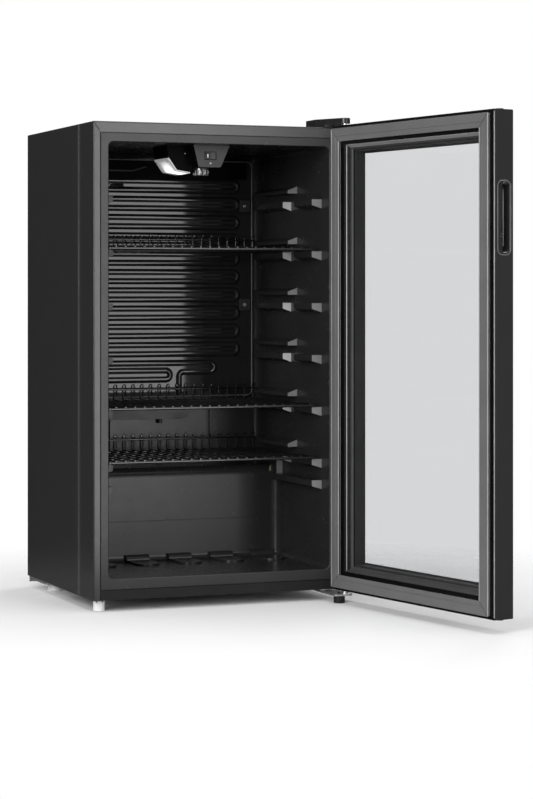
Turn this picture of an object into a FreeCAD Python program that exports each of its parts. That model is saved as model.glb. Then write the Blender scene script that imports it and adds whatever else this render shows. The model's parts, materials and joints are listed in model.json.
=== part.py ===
"""Under-counter glass door beverage cooler, millimetres.

The cabinet is built in its own frame: X = 0 is the cabinet's centre plane, Y = 0 is its front plane and
Z = 0 is the floor. +X is right, +Y is back, +Z is up. The door is built closed and then swung open about
its hinge axis. Last, everything is moved so that the origin is under the centre of the whole object.
"""
import FreeCAD, Part
import math
import os

Vector = FreeCAD.Vector
X_AXIS = Vector(1, 0, 0)
Y_AXIS = Vector(0, 1, 0)
Z_AXIS = Vector(0, 0, 1)

# Cabinet
CABINET_WIDTH = 472.0
CABINET_DEPTH = 405.5
CABINET_TOP = 850.0
CABINET_BOTTOM = 20.0
HALF_WIDTH = CABINET_WIDTH / 2
SHEET = 1.0
SIDE_FLANGE = 12.3
TOP_FLANGE = 19.0
FLANGE_RETURN = 9.0
FLANGE_GROOVE = 1.5
BEND_RADIUS = 2.4
MOUTH_RADIUS = 1.5
CREASE_Y = 84.0
RAIL_TOP = 37.3

# Liner cavity
CAVITY_HALF = 208.0
CAVITY_BOTTOM = 57.0
CAVITY_TOP = 815.0
CAVITY_BACK = 345.0
LINER = 1.8
LINER_EDGE_RADIUS = 9.0
LINER_CORNER_RADIUS = 16.0
STEP_Y = 243.0
STEP_Z = 228.0
STEP_RADIUS = 20.0
BULGE_Y = 332.0
BULGE_HALF = 190.0
BULGE_TOP = 352.0
PAD_FIRST_X = -157.5
PAD_PITCH = 82.5
PAD_COUNT = 5
PAD_WIDTH = 45.0
PAD_FRONT_Y = 161.0
PAD_HEIGHT = 3.0

# Shelf ribs on the side walls
LEVEL_TOP = 722.0
LEVEL_PITCH = 94.0
LEVEL_COUNT = 6
UPPER_RIB_LIFT = 15.0
UPPER_RIB_REACH = 18.6
LOWER_RIB_REACH = 16.5
FRONT_RIB_REACH = 19.0
RIB_FRONT_Y = 35.4
RIB_BACK_Y = 326.0
FRONT_RIB_BACK_Y = 120.0

# Compressor bay
BAY_FRONT = 262.0
BAY_TOP = 200.0
BAY_MIDDLE_Y = 334.0

# Evaporator
PLATE_FRONT = 330.0
PLATE_BOTTOM = 355.0
PLATE_TOP = 805.0
PLATE_SHEET = 1.2
TUBE_RADIUS = 4.0
RUN_PITCH = 17.25
FIRST_TURN_Z = 755.7
FULL_TURNS = 10
TURN_X = 149.9

# Shelves
SHELF_HALF = 196.0
SHELF_FRONT_Y = 33.0
SHELF_BACK_Y = 312.0
SHELF_LEVELS = {"top": 1, "middle": 4, "bottom": 5}
SIDE_WIRE = 5.0
CROSS_WIRE = 4.0
LONG_WIRE = 2.8
WIRE_PITCH = 17.5
WIRE_COUNT = 22
FENCE_HEIGHT = 32.0
SHELF_GAP = 0.3

# Control box under the ceiling
BOX_FRONT = 41.0
BOX_BACK = 150.0
BOX_BOTTOM = 777.0
BOX_TOP_LEFT = -35.5
BOX_TOP_RIGHT = 31.0
BOX_LOW_LEFT = -26.0
BOX_LOW_RIGHT = 14.0
KNOB_X = -5.0
KNOB_Y = 90.0
KNOB_RADIUS = 14.0
KNOB_BOTTOM = 763.0
ROCKER_X = -4.6
ROCKER_Z = 796.5
ROCKER_WIDTH = 21.0
ROCKER_HEIGHT = 13.4
ROCKER_TILT = 7.0
LAMP_FRONT = 75.0
SENSOR_X = -24.0
SENSOR_Z = 792.0

# Door, closed
DOOR_GAP = 10.4
DOOR_THICKNESS = 38.8
DOOR_BOTTOM = 22.6
DOOR_TOP = 851.0
DOOR_WALL = 3.0
DOOR_BORDER = 40.0
WINDOW_BORDER = 47.5
GASKET_INSET = 5.5
GASKET_WIDTH = 24.5
GASKET_REACH = 9.6
INNER_PANE_DEPTH = 14.0
INNER_PANE = 3.2
OUTER_PANE = 4.0
BEZEL = 10.0
HANDLE_LOW = 613.5
HANDLE_HIGH = 736.0
HANDLE_CENTRE = 20.2
HANDLE_WIDTH = 28.8
HANDLE_DEPTH = 21.0
SLOT_DEPTHS = (14.2, 31.3)

# Hinges
PIVOT_X = 226.0
PIVOT_Y = -28.5
DOOR_OPEN_DEG = 99.8
PIN_RADIUS = 4.0
BUSH_RADIUS = 7.0
BUSH_LENGTH = 15.0
RUNNING_GAP = 0.05
HINGE_PLATE_Z = 855.2
HINGE_TOP = 865.2
HINGE_END_RADIUS = 9.8
LOWER_PLATE_Z = 13.0
LOWER_PLATE = 3.0

# Feet
FOOT_RADIUS = 10.2
LEFT_FOOT = (-218.0, 25.0)
RIGHT_FOOT = (211.7, -36.0)
REAR_FOOT_X = 208.0
REAR_FOOT_Y = 320.0


def box(x0, x1, y0, y1, z0, z1):
    """A box between two corners."""
    return Part.makeBox(x1 - x0, y1 - y0, z1 - z0, Vector(x0, y0, z0))


def rod(x, y, z, radius, height, axis=Z_AXIS):
    """A cylinder that starts at a point and runs along an axis."""
    return Part.makeCylinder(radius, height, Vector(x, y, z), axis)


def prism(points, direction):
    """A closed outline pushed along a direction."""
    corners = [Vector(*point) for point in points]
    outline = Part.makePolygon(corners + corners[:1])
    return Part.Face(outline).extrude(Vector(*direction))


def side_prism(yz_points, x0, x1):
    """An outline in the YZ plane, pushed from x0 to x1."""
    return prism([(x0, y, z) for y, z in yz_points], (x1 - x0, 0, 0))


def fuse(shapes):
    """One solid from several, with the seams between them removed."""
    return shapes[0].multiFuse(shapes[1:]).removeSplitter()


def mirrored(shape):
    """The shape's copy on the other side of the centre plane."""
    return shape.mirror(Vector(0, 0, 0), X_AXIS)


def both_sides(shape):
    """A shape and its mirror image, as separate solids."""
    return Part.makeCompound([shape, mirrored(shape)])


def edges_where(shape, test):
    """The edges whose middle point passes a test."""
    return [edge for edge in shape.Edges if test(edge.CenterOfMass, edge)]


def is_along(edge, axis):
    """True for a straight edge that runs along an axis."""
    if not isinstance(edge.Curve, (Part.Line, Part.LineSegment)):
        return False
    run = edge.Vertexes[-1].Point.sub(edge.Vertexes[0].Point)
    return abs(run.dot(axis)) > 0.999 * run.Length


def rounded_box(x0, x1, y0, y1, z0, z1, radius, axis):
    """A box with the four edges along one axis rounded."""
    block = box(x0, x1, y0, y1, z0, z1)
    return block.makeFillet(radius, [edge for edge in block.Edges if is_along(edge, axis)])


def tube_along(points, radius, bend):
    """A round rod through points, with an arc of one radius at every corner."""
    corners = [Vector(*point) for point in points]
    edges = []
    start = corners[0]
    for before, corner, after in zip(corners, corners[1:], corners[2:]):
        back = before.sub(corner).normalize()
        ahead = after.sub(corner).normalize()
        half_turn = (math.pi - back.getAngle(ahead)) / 2
        reach = bend * math.tan(half_turn)
        entry = corner.add(back.multiply(reach))
        leave = corner.add(ahead.multiply(reach))
        middle_way = entry.add(leave).multiply(0.5).sub(corner).normalize()
        middle = corner.add(middle_way.multiply(bend / math.cos(half_turn) - bend))
        edges.append(Part.LineSegment(start, entry).toShape())
        edges.append(Part.Arc(entry, middle, leave).toShape())
        start = leave
    edges.append(Part.LineSegment(start, corners[-1]).toShape())
    path = Part.Wire(edges)
    heading = corners[1].sub(corners[0])
    section = Part.Wire([Part.Circle(corners[0], heading, radius).toShape()])
    return Part.Solid(path.makePipeShell([section], True, False))


# ---------------------------------------------------------------- cabinet

def make_outer_shell():
    """Painted steel wrap: two sides, the top and the flange round the front."""
    outside = box(-HALF_WIDTH, HALF_WIDTH, 0, CABINET_DEPTH, CABINET_BOTTOM, CABINET_TOP)
    bend = edges_where(outside, lambda c, e: (is_along(e, Y_AXIS) and c.z > CABINET_TOP - 1)
                       or (c.y < 0.1 and c.z > CABINET_BOTTOM + 1))
    outside = outside.makeFillet(BEND_RADIUS, bend)
    room = box(-HALF_WIDTH + SHEET, HALF_WIDTH - SHEET, SHEET, CABINET_DEPTH + 1,
               CABINET_BOTTOM - 1, CABINET_TOP - SHEET)
    front = box(-HALF_WIDTH + SIDE_FLANGE, HALF_WIDTH - SIDE_FLANGE, -1, SHEET + 1,
                CABINET_BOTTOM - 1, CABINET_TOP - TOP_FLANGE)
    shell = outside.cut(room).cut(front)
    inner_x = HALF_WIDTH - SIDE_FLANGE
    hem_z = CABINET_TOP - TOP_FLANGE
    side_hem = box(inner_x, inner_x + SHEET, SHEET / 2, FLANGE_RETURN, CABINET_BOTTOM, hem_z + SHEET)
    top_hem = box(-inner_x - SHEET, inner_x + SHEET, SHEET / 2, FLANGE_RETURN, hem_z, hem_z + SHEET)
    shell = fuse([shell, side_hem, mirrored(side_hem), top_hem])
    return shell.cut(Part.makeCompound(shell_creases()))


def shell_creases():
    """Fine pressed lines: one up each side and a mitre at each top corner of the flange."""
    line = box(-HALF_WIDTH - 1, -HALF_WIDTH + 0.5, CREASE_Y - 0.8, CREASE_Y + 0.8,
               CABINET_BOTTOM - 1, CABINET_TOP - 3)
    half_run = math.hypot(SIDE_FLANGE, TOP_FLANGE) / 2 - 1
    mitre = box(-0.6, 0.6, -1, 0.8, -half_run, half_run)
    lean = math.degrees(math.atan2(SIDE_FLANGE, TOP_FLANGE))
    mitre.rotate(Vector(0, 0, 0), Y_AXIS, -lean)
    mitre.translate(Vector(-HALF_WIDTH + SIDE_FLANGE / 2, 0, CABINET_TOP - TOP_FLANGE / 2))
    return [line, mirrored(line), mitre, mirrored(mitre)]


def make_back_panel():
    """Steel back above the compressor bay, stiffened by pressed beads."""
    side = HALF_WIDTH - SHEET - 0.1
    panel = box(-side, side, CABINET_DEPTH - 2, CABINET_DEPTH - 1.2, BAY_TOP + 1, CABINET_TOP - SHEET - 0.1)
    beads = []
    for z in (300, 460, 620, 780):
        bead = rounded_box(-170, 170, CABINET_DEPTH - 1.6, CABINET_DEPTH, z - 9, z + 9, 8.9, Y_AXIS)
        beads.append(bead)
    return fuse([panel] + beads)


def make_front_rail():
    """Folded steel rail across the bottom of the front."""
    side = HALF_WIDTH - SIDE_FLANGE - 0.7
    face = box(-side, side, 0.4, 0.4 + SHEET, CABINET_BOTTOM, RAIL_TOP)
    low = box(-side, side, 0.4, 16, CABINET_BOTTOM, CABINET_BOTTOM + SHEET)
    high = box(-side, side, 0.4, 10, RAIL_TOP - SHEET, RAIL_TOP)
    rail = fuse([face, low, high])
    brow = edges_where(rail, lambda c, e: is_along(e, X_AXIS) and c.y < 0.5 and c.z > RAIL_TOP - 0.1)
    return rail.makeFillet(0.8, brow)


def make_floor_pan():
    """Sheet under the foam: cabinet floor, bay front wall and bay roof in one fold."""
    side = HALF_WIDTH - SHEET - 0.1
    low = CABINET_BOTTOM + 2
    line = [(17, low), (BAY_FRONT, low), (BAY_FRONT, BAY_TOP), (CABINET_DEPTH - 2.1, BAY_TOP)]
    back = [(CABINET_DEPTH - 2.1, BAY_TOP - SHEET), (BAY_FRONT + SHEET, BAY_TOP - SHEET),
            (BAY_FRONT + SHEET, low - SHEET), (17, low - SHEET)]
    pan = side_prism(line + back, -side, side)
    hole = rod(0, 370, BAY_TOP - 5, 6.2, 10)
    return pan.cut(hole).cut(rod(120, 380, BAY_TOP - 5, 4.2, 10))


def cavity(grow):
    """The space inside the liner, enlarged by a wall thickness."""
    half = CAVITY_HALF + grow
    upper = box(-half, half, -60, CAVITY_BACK + grow, STEP_Z - grow, CAVITY_TOP + grow)
    upper = upper.makeFillet(LINER_CORNER_RADIUS + grow, edges_where(
        upper, lambda c, e: is_along(e, Z_AXIS) and c.y > 0))
    upper = upper.makeFillet(LINER_EDGE_RADIUS + grow, edges_where(
        upper, lambda c, e: c.y > 0 and abs(c.z - CAVITY_TOP - grow) < 0.1))
    lower = box(-half, half, -60, STEP_Y + grow, CAVITY_BOTTOM - grow, STEP_Z + 100)
    lower = lower.makeFillet(LINER_CORNER_RADIUS + grow, edges_where(
        lower, lambda c, e: is_along(e, Z_AXIS) and c.y > 0))
    lower = lower.makeFillet(LINER_EDGE_RADIUS + grow, edges_where(
        lower, lambda c, e: c.y > 0 and abs(c.z - CAVITY_BOTTOM + grow) < 0.1))
    radius = STEP_RADIUS - grow
    near = STEP_Y + grow
    top = STEP_Z - grow
    brow = box(-half, half, near, near + radius, top - radius, top + 0.5)
    brow = brow.cut(rod(-half, near + radius, top - radius, radius, 2 * half, X_AXIS))
    return fuse([upper, lower, brow])


def rib(y0, y1, z_flat, root, tip, reach, upward):
    """A tapering ledge on the right wall, flat on one side; upward slopes its top instead."""
    wall = CAVITY_HALF + 0.9
    sign = 1 if upward else -1
    corners = [(wall, z_flat), (CAVITY_HALF - reach, z_flat),
               (CAVITY_HALF - reach, z_flat + sign * tip), (wall, z_flat + sign * root)]
    return prism([(x, y0, z) for x, z in corners], (0, y1 - y0, 0))


def level_ribs(top):
    """The ledges on the right wall that carry and hold one shelf."""
    upper = rib(150, RIB_BACK_Y, top + UPPER_RIB_LIFT, 13, 6, UPPER_RIB_REACH, True)
    rear = rib(179, RIB_BACK_Y, top, 16.5, 10.6, LOWER_RIB_REACH, False)
    front = rib(RIB_FRONT_Y, FRONT_RIB_BACK_Y, top, 16.5, 10.6, FRONT_RIB_REACH, False)
    link = box(CAVITY_HALF - LOWER_RIB_REACH, CAVITY_HALF + 0.9, RIB_BACK_Y - 18, RIB_BACK_Y,
               top - 1, top + UPPER_RIB_LIFT + 1)
    return [upper, rear, front, link]


def make_liner(fitted):
    """Vacuum-formed plastic liner with its flange, ledges, step and pads, open where pieces are fitted."""
    skin = cavity(LINER).common(box(-400, 400, 0, 400, 0, 900))
    reach_x = HALF_WIDTH - SIDE_FLANGE - FLANGE_GROOVE
    flange = box(-reach_x, reach_x, 0, LINER, RAIL_TOP + 1.2, CABINET_TOP - TOP_FLANGE - FLANGE_GROOVE)
    space = cavity(0)
    walls = fuse([skin, flange]).cut(space)
    mouth = edges_where(walls, lambda c, e: abs(c.y) < 0.01 and abs(c.x) < CAVITY_HALF + 1
                        and CAVITY_BOTTOM - 1 < c.z < CAVITY_TOP + 1)
    walls = walls.makeFillet(MOUTH_RADIUS, mouth)
    ledges = []
    for level in range(LEVEL_COUNT):
        ledges += level_ribs(LEVEL_TOP - LEVEL_PITCH * level)
    low_rib = LEVEL_TOP - LEVEL_PITCH * (LEVEL_COUNT - 1) - 38.6
    step_inside = STEP_Y + LINER / 2
    ledges.append(rib(RIB_FRONT_Y, step_inside, low_rib, 16.5, 10.6, FRONT_RIB_REACH, False))
    ledges.append(box(CAVITY_HALF - 12, CAVITY_HALF + 0.9, STEP_Y - 22, step_inside,
                      low_rib - 1, low_rib + 26))
    ledges = fuse(ledges).common(cavity(LINER / 2))
    bulge = box(-BULGE_HALF, BULGE_HALF, BULGE_Y, CAVITY_BACK + 0.9, STEP_Z - 0.9, BULGE_TOP)
    for x in (-100, 100):
        bulge = bulge.cut(box(x - 3, x + 3, BULGE_Y - 1, BULGE_Y + 4, STEP_Z + 6, BULGE_TOP + 1))
    pads = fuse(floor_pads()).common(cavity(LINER / 2))
    liner = fuse([walls, ledges, mirrored(ledges), bulge, pads])
    return liner.cut(Part.makeCompound(liner_lines() + fitted))


def floor_pads():
    """Low raised pads at the back of the cavity floor."""
    pads = []
    for index in range(PAD_COUNT):
        x = PAD_FIRST_X + PAD_PITCH * index
        low = CAVITY_BOTTOM - 0.9
        left, right = x - PAD_WIDTH / 2, x + PAD_WIDTH / 2
        pad = box(left, right, PAD_FRONT_Y, STEP_Y - 2, low, CAVITY_BOTTOM + PAD_HEIGHT)
        front = edges_where(pad, lambda c, e: is_along(e, Z_AXIS) and c.y < PAD_FRONT_Y + 1)
        pad = pad.makeFillet(PAD_WIDTH / 2 - 0.5, front)
        lift = box(left, right, STEP_Y - 12, STEP_Y + 0.9, low, CAVITY_BOTTOM + 12)
        slope = edges_where(lift, lambda c, e: is_along(e, X_AXIS) and c.y < STEP_Y - 5
                            and c.z > CAVITY_BOTTOM)
        pads += [pad, lift.makeFillet(10, slope)]
    return pads


def liner_lines():
    """Shallow pressed lines: a band high on each side wall and a seam across the step."""
    band = box(CAVITY_HALF - 1, CAVITY_HALF + 0.7, 60, 320, 764, 777)
    seam = box(-CAVITY_HALF + 18, 150, STEP_Y - 1, STEP_Y + 0.4, 129.4, 130.6)
    return [band, mirrored(band), seam]


def make_foam(tubes):
    """Insulation between the shell and the liner, with channels for what runs through it."""
    side = HALF_WIDTH - SHEET
    front = FLANGE_RETURN + 1
    block = box(-side, side, front, CABINET_DEPTH - 2, CABINET_BOTTOM + 2, CABINET_TOP - SHEET)
    bay = box(-side - 1, side + 1, BAY_FRONT, CABINET_DEPTH + 1, 0, BAY_TOP)
    block = block.cut(cavity(LINER)).cut(bay).cut(box(-300, 300, 0, 17, 0, RAIL_TOP + 1))
    return block.cut(Part.makeCompound(tubes))


def make_condenser():
    """Heat-rejecting tube bonded to the inside of both side panels."""
    x = HALF_WIDTH - SHEET - 3.2
    z_low, z_high = 250.0, 800.0
    points = [(x, 380, 204)]
    for index, y in enumerate((380, 310, 240, 170, 100, 50)):
        ends = (z_low, z_high) if index % 2 == 0 else (z_high, z_low)
        points += [(x, y, ends[0]), (x, y, ends[1])]
    points = [points[0]] + points[2:]
    return both_sides(tube_along(points, 2.4, 15))


# ---------------------------------------------------------------- cooling parts in the cavity

def make_evaporator_plate():
    """Cold plate on the back of the cavity, with its edges folded back."""
    skin = rounded_box(-BULGE_HALF, BULGE_HALF, PLATE_FRONT, PLATE_FRONT + 10, PLATE_BOTTOM, PLATE_TOP,
                       11, Y_AXIS)
    hollow = rounded_box(-BULGE_HALF + PLATE_SHEET, BULGE_HALF - PLATE_SHEET, PLATE_FRONT + PLATE_SHEET,
                         PLATE_FRONT + 20, PLATE_BOTTOM + PLATE_SHEET, PLATE_TOP - PLATE_SHEET, 9.8, Y_AXIS)
    return skin.cut(hollow)


def d_tube(points, bend):
    """Half-round tube pressed flat on the plate."""
    y = PLATE_FRONT
    tube = tube_along([(x, y, z) for x, z in points], TUBE_RADIUS, bend)
    front = box(-300, 300, y - 20, y, 100, 900)
    return tube.common(front)


def make_evaporator_tube():
    """The serpentine on the plate: ten full turns, a short turn, a loop at the lower left and a tail."""
    half = RUN_PITCH / 2
    points = []
    z = FIRST_TURN_Z + half
    left, right = -TURN_X, TURN_X + half
    points.append((left - 12, z))
    for turn in range(FULL_TURNS):
        points += [(right, z), (right, z - RUN_PITCH)]
        z -= RUN_PITCH
        points += [(left - half, z), (left - half, z - RUN_PITCH)]
        z -= RUN_PITCH
    points += [(115.4 - TUBE_RADIUS, z), (115.4 - TUBE_RADIUS, z - RUN_PITCH)]
    z -= RUN_PITCH
    points += [(40, z), (40, PLATE_BOTTOM + 3)]
    loop_z = z + 3.3
    loop = [(left, loop_z), (26 - TUBE_RADIUS, loop_z), (26 - TUBE_RADIUS, loop_z - RUN_PITCH),
            (left, loop_z - RUN_PITCH)]
    return Part.makeCompound([d_tube(points, half - 0.01), d_tube(loop, half - 0.01)])


def make_plate_clips():
    """Plastic clips that hold the plate's edges."""
    clips = []
    for z in (719, 530):
        clip = rounded_box(163, 184, PLATE_FRONT - 3, PLATE_FRONT, z - 11, z + 11, 3, Y_AXIS)
        clip = clip.cut(rod(173, PLATE_FRONT - 4, z, 2.1, 5, Y_AXIS))
        clips += [clip, mirrored(clip)]
    return Part.makeCompound(clips)


def screw(x, y, z, axis, head_radius=3.6, head=1.8, shank_radius=2.0, shank=3.0):
    """A pan head with a cross recess and a short shank, head outward along the axis."""
    point = Vector(x, y, z)
    cap = Part.makeCylinder(head_radius, head, point, axis)
    brow = edges_where(cap, lambda c, e: e.Closed and c.sub(point).Length > head / 2)
    cap = cap.makeFillet(head * 0.6, brow)
    below = Vector(axis).multiply(-shank)
    stem = Part.makeCylinder(shank_radius, shank + 0.5, point.add(below), axis)
    slot = head_radius * 0.55
    cross = Part.makeCompound([
        Part.makeBox(2 * slot, 0.7, 1.2, Vector(-slot, -0.35, head - 0.9)),
        Part.makeBox(0.7, 2 * slot, 1.2, Vector(-0.35, -slot, head - 0.9)),
    ])
    cross.Placement = FreeCAD.Placement(point, FreeCAD.Rotation(Z_AXIS, axis))
    return fuse([cap, stem]).cut(cross)


def make_plate_screws():
    """One screw through each plate clip."""
    screws = []
    for x in (-173, 173):
        for z in (719, 530):
            screws.append(screw(x, PLATE_FRONT - 3, z, Vector(0, -1, 0), 3.4, 1.6, 2.0, 2.6))
    return Part.makeCompound(screws)


def make_drip_trough():
    """Gutter below the plate that leads meltwater to the drain."""
    left, right, low, high = -178.0, 56.0, 314.0, 333.0
    body = box(left, right, BULGE_Y - 13, BULGE_Y, low, high)
    end = edges_where(body, lambda c, e: is_along(e, Y_AXIS) and c.x > 0 and c.z < low + 1)
    body = body.makeFillet(12, end)
    channel = box(left + 2, right - 2, BULGE_Y - 11, BULGE_Y - 1.5, low + 2, high + 1)
    low_end = edges_where(channel, lambda c, e: is_along(e, Y_AXIS) and c.x > 0 and c.z < low + 3)
    body = body.cut(channel.makeFillet(10, low_end))
    spout = rod(0, BULGE_Y - 6.5, low - 8, 4.5, 9).cut(rod(0, BULGE_Y - 6.5, low - 9, 3, 12))
    return fuse([body, spout]).cut(rod(0, BULGE_Y - 6.5, low - 9, 3, 13))


def drain_route():
    """The drain tube's points, from the ledge behind the step down into the bay."""
    return [(0, 336.5, STEP_Z + 12), (0, 336.5, 215), (0, 370, 205), (0, 370, 172)]


def wall_plug(x, y, z, side, radius):
    """A domed plug in a side wall."""
    axis = Vector(-side, 0, 0)
    start = Vector(side * (CAVITY_HALF + 0.6), y, z)
    plug = Part.makeCylinder(radius, 1.8, start, axis)
    rim = edges_where(plug, lambda c, e: abs(c.x) < CAVITY_HALF - 1)
    return plug.makeFillet(0.9, rim)


def make_wall_plugs():
    """Small plugs in the side walls near the front."""
    plugs = []
    for side in (-1, 1):
        plugs.append(wall_plug(side, 47.8, 772, side, 3.5))
        for z in (144.4, 97.8):
            plugs.append(wall_plug(side, 26.3, z, side, 1.6))
    return Part.makeCompound(plugs)


# ---------------------------------------------------------------- control box and lamp

def make_control_box():
    """Plastic housing under the ceiling, with the lamp pod on its left."""
    ceiling = CAVITY_TOP - 0.05
    outline = [(BOX_TOP_LEFT, ceiling), (BOX_LOW_LEFT, BOX_BOTTOM), (BOX_LOW_RIGHT, BOX_BOTTOM),
               (BOX_TOP_RIGHT, ceiling)]
    body = prism([(x, BOX_FRONT + 2, z) for x, z in outline], (0, BOX_BACK - BOX_FRONT - 2, 0))
    inner = [(BOX_TOP_LEFT + 2.6, ceiling + 1), (BOX_LOW_LEFT + 1.4, BOX_BOTTOM + 2),
             (BOX_LOW_RIGHT - 1.4, BOX_BOTTOM + 2), (BOX_TOP_RIGHT - 2.6, ceiling + 1)]
    hollow = prism([(x, BOX_FRONT + 4, z) for x, z in inner], (0, BOX_BACK - BOX_FRONT - 6, 0))
    body = body.cut(hollow)
    pod = prism([(x, LAMP_FRONT, z) for x, z in lamp_outline(0, ceiling)], (0, BOX_BACK - LAMP_FRONT, 0))
    pod_room = prism([(x, LAMP_FRONT + 2, z) for x, z in lamp_outline(2, ceiling + 1)],
                     (0, BOX_BACK - LAMP_FRONT - 4, 0))
    body = fuse([body, pod.cut(pod_room)])
    stem = rod(KNOB_X, KNOB_Y, BOX_BOTTOM - 1, 4.5, 4)
    switch_half = ROCKER_WIDTH / 2 + 1.5
    switch_room = box(ROCKER_X - switch_half, ROCKER_X + switch_half, BOX_FRONT, BOX_FRONT + 6,
                      ROCKER_Z - 8, ROCKER_Z + 8)
    sensor = rod(SENSOR_X, BOX_BACK - 8, SENSOR_Z, 2.2, 20, Y_AXIS)
    return body.cut(Part.makeCompound([stem, switch_room, sensor]))


def lamp_outline(inset, ceiling):
    """Lamp pod section: a slanted left side and a gently sloping underside."""
    return [(-75 + inset, ceiling), (-71 + inset, 793.8), (-55.8 + inset * 0.6, 772.2 + inset),
            (-30, 768.4 + inset), (BOX_LOW_LEFT + 2 - inset, BOX_BOTTOM + inset),
            (BOX_TOP_LEFT - inset, ceiling)]


def make_lamp_lens():
    """White diffuser bent round the lamp pod's left and lower faces."""
    outer = [(-72.9, 792.6), (-57.0, 770.4), (-31.0, 766.4), (-31.0, 768.4), (-55.8, 772.1), (-71.0, 793.7)]
    lens = prism([(x, LAMP_FRONT, z) for x, z in outer], (0, BOX_BACK - LAMP_FRONT, 0))
    bend = edges_where(lens, lambda c, e: is_along(e, Y_AXIS) and c.z < 771 and c.x < -50)
    return lens.makeFillet(6, bend)


def make_led_board():
    """Circuit board in the lamp pod with a row of LED chips."""
    board = box(-68, -42, LAMP_FRONT + 6, BOX_BACK - 6, 800, 801.6)
    chips = [box(-58, -52, y, y + 5, 797.8, 800.1) for y in (85, 97, 109, 121, 133)]
    return fuse([board] + chips)


def make_face_plate():
    """Front plate of the control box, wide at the top with rounded lower corners."""
    ceiling = CAVITY_TOP - 0.05
    outline = [(BOX_TOP_LEFT - 1, ceiling), (BOX_LOW_LEFT - 1, BOX_BOTTOM - 1),
               (BOX_LOW_RIGHT + 1, BOX_BOTTOM - 1), (BOX_TOP_RIGHT + 1, ceiling)]
    plate = prism([(x, BOX_FRONT, z) for x, z in outline], (0, 2, 0))
    low = edges_where(plate, lambda c, e: is_along(e, Y_AXIS) and c.z < BOX_BOTTOM)
    plate = plate.makeFillet(5, low)
    window = box(ROCKER_X - ROCKER_WIDTH / 2 - 0.6, ROCKER_X + ROCKER_WIDTH / 2 + 0.6, BOX_FRONT - 1,
                 BOX_FRONT + 3, ROCKER_Z - ROCKER_HEIGHT / 2 - 0.5, ROCKER_Z + ROCKER_HEIGHT / 2 + 0.5)
    return plate.cut(window).cut(rod(ROCKER_X, BOX_FRONT - 1, 783.3, 2.0, 4, Y_AXIS))


def make_indicator():
    """Small round window below the switch."""
    lens = rod(ROCKER_X, BOX_FRONT - 0.5, 783.3, 1.95, 2.5, Y_AXIS)
    rim = edges_where(lens, lambda c, e: c.y < BOX_FRONT)
    return lens.makeFillet(0.4, rim)


def make_rocker():
    """Rocker of the light switch, tilted to its on side about its own upright axis."""
    half = ROCKER_WIDTH / 2 - 0.7
    tall = ROCKER_HEIGHT / 2 - 0.3
    outline = [(-half, 1.2), (0, 0), (half, 1.2), (half * 0.55, 5.2), (-half * 0.55, 5.2)]
    rocker = prism([(x, y, -tall) for x, y in outline], (0, 0, 2 * tall))
    rocker.rotate(Vector(0, 2.6, 0), Z_AXIS, -ROCKER_TILT)
    rocker.translate(Vector(ROCKER_X, BOX_FRONT - 1.2, ROCKER_Z))
    return rocker


def make_switch_body():
    """Fixed body of the light switch, behind the rocker."""
    return box(ROCKER_X - 9, ROCKER_X + 9, BOX_FRONT + 6.2, BOX_FRONT + 16, ROCKER_Z - 6.5, ROCKER_Z + 6.5)


def make_thermostat():
    """Thermostat switch in the control box, with the spindle that carries the knob."""
    body = box(KNOB_X - 15, KNOB_X + 15, KNOB_Y - 14, KNOB_Y + 14, BOX_BOTTOM + 2.1, BOX_BOTTOM + 24)
    spindle = rod(KNOB_X, KNOB_Y, KNOB_BOTTOM + 4, 3, BOX_BOTTOM - KNOB_BOTTOM)
    return fuse([body, spindle])


def make_knob():
    """Thermostat knob: a drum with finger flutes, hanging under the box."""
    height = BOX_BOTTOM - 0.4 - KNOB_BOTTOM
    drum = rod(KNOB_X, KNOB_Y, KNOB_BOTTOM, KNOB_RADIUS, height)
    rim = edges_where(drum, lambda c, e: c.z < KNOB_BOTTOM + 0.1)
    drum = drum.makeFillet(1.5, rim)
    flutes = []
    for index in range(18):
        angle = math.radians(index * 20 + 10)
        x = KNOB_X + (KNOB_RADIUS + 0.9) * math.cos(angle)
        y = KNOB_Y + (KNOB_RADIUS + 0.9) * math.sin(angle)
        flutes.append(rod(x, y, KNOB_BOTTOM - 1, 1.6, height - 3))
    bore = rod(KNOB_X, KNOB_Y, KNOB_BOTTOM + 3.9, 3 + RUNNING_GAP, height)
    return drum.cut(Part.makeCompound(flutes)).cut(bore)


def sensor_route():
    """The sensor tube's points, from the control box to the plate and along it."""
    y = PLATE_FRONT - 3.4
    return [(SENSOR_X, BOX_BACK - 16, SENSOR_Z), (SENSOR_X, y, SENSOR_Z), (SENSOR_X - 30, y, 783),
            (-150, y, 783)]


# ---------------------------------------------------------------- shelves

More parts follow.
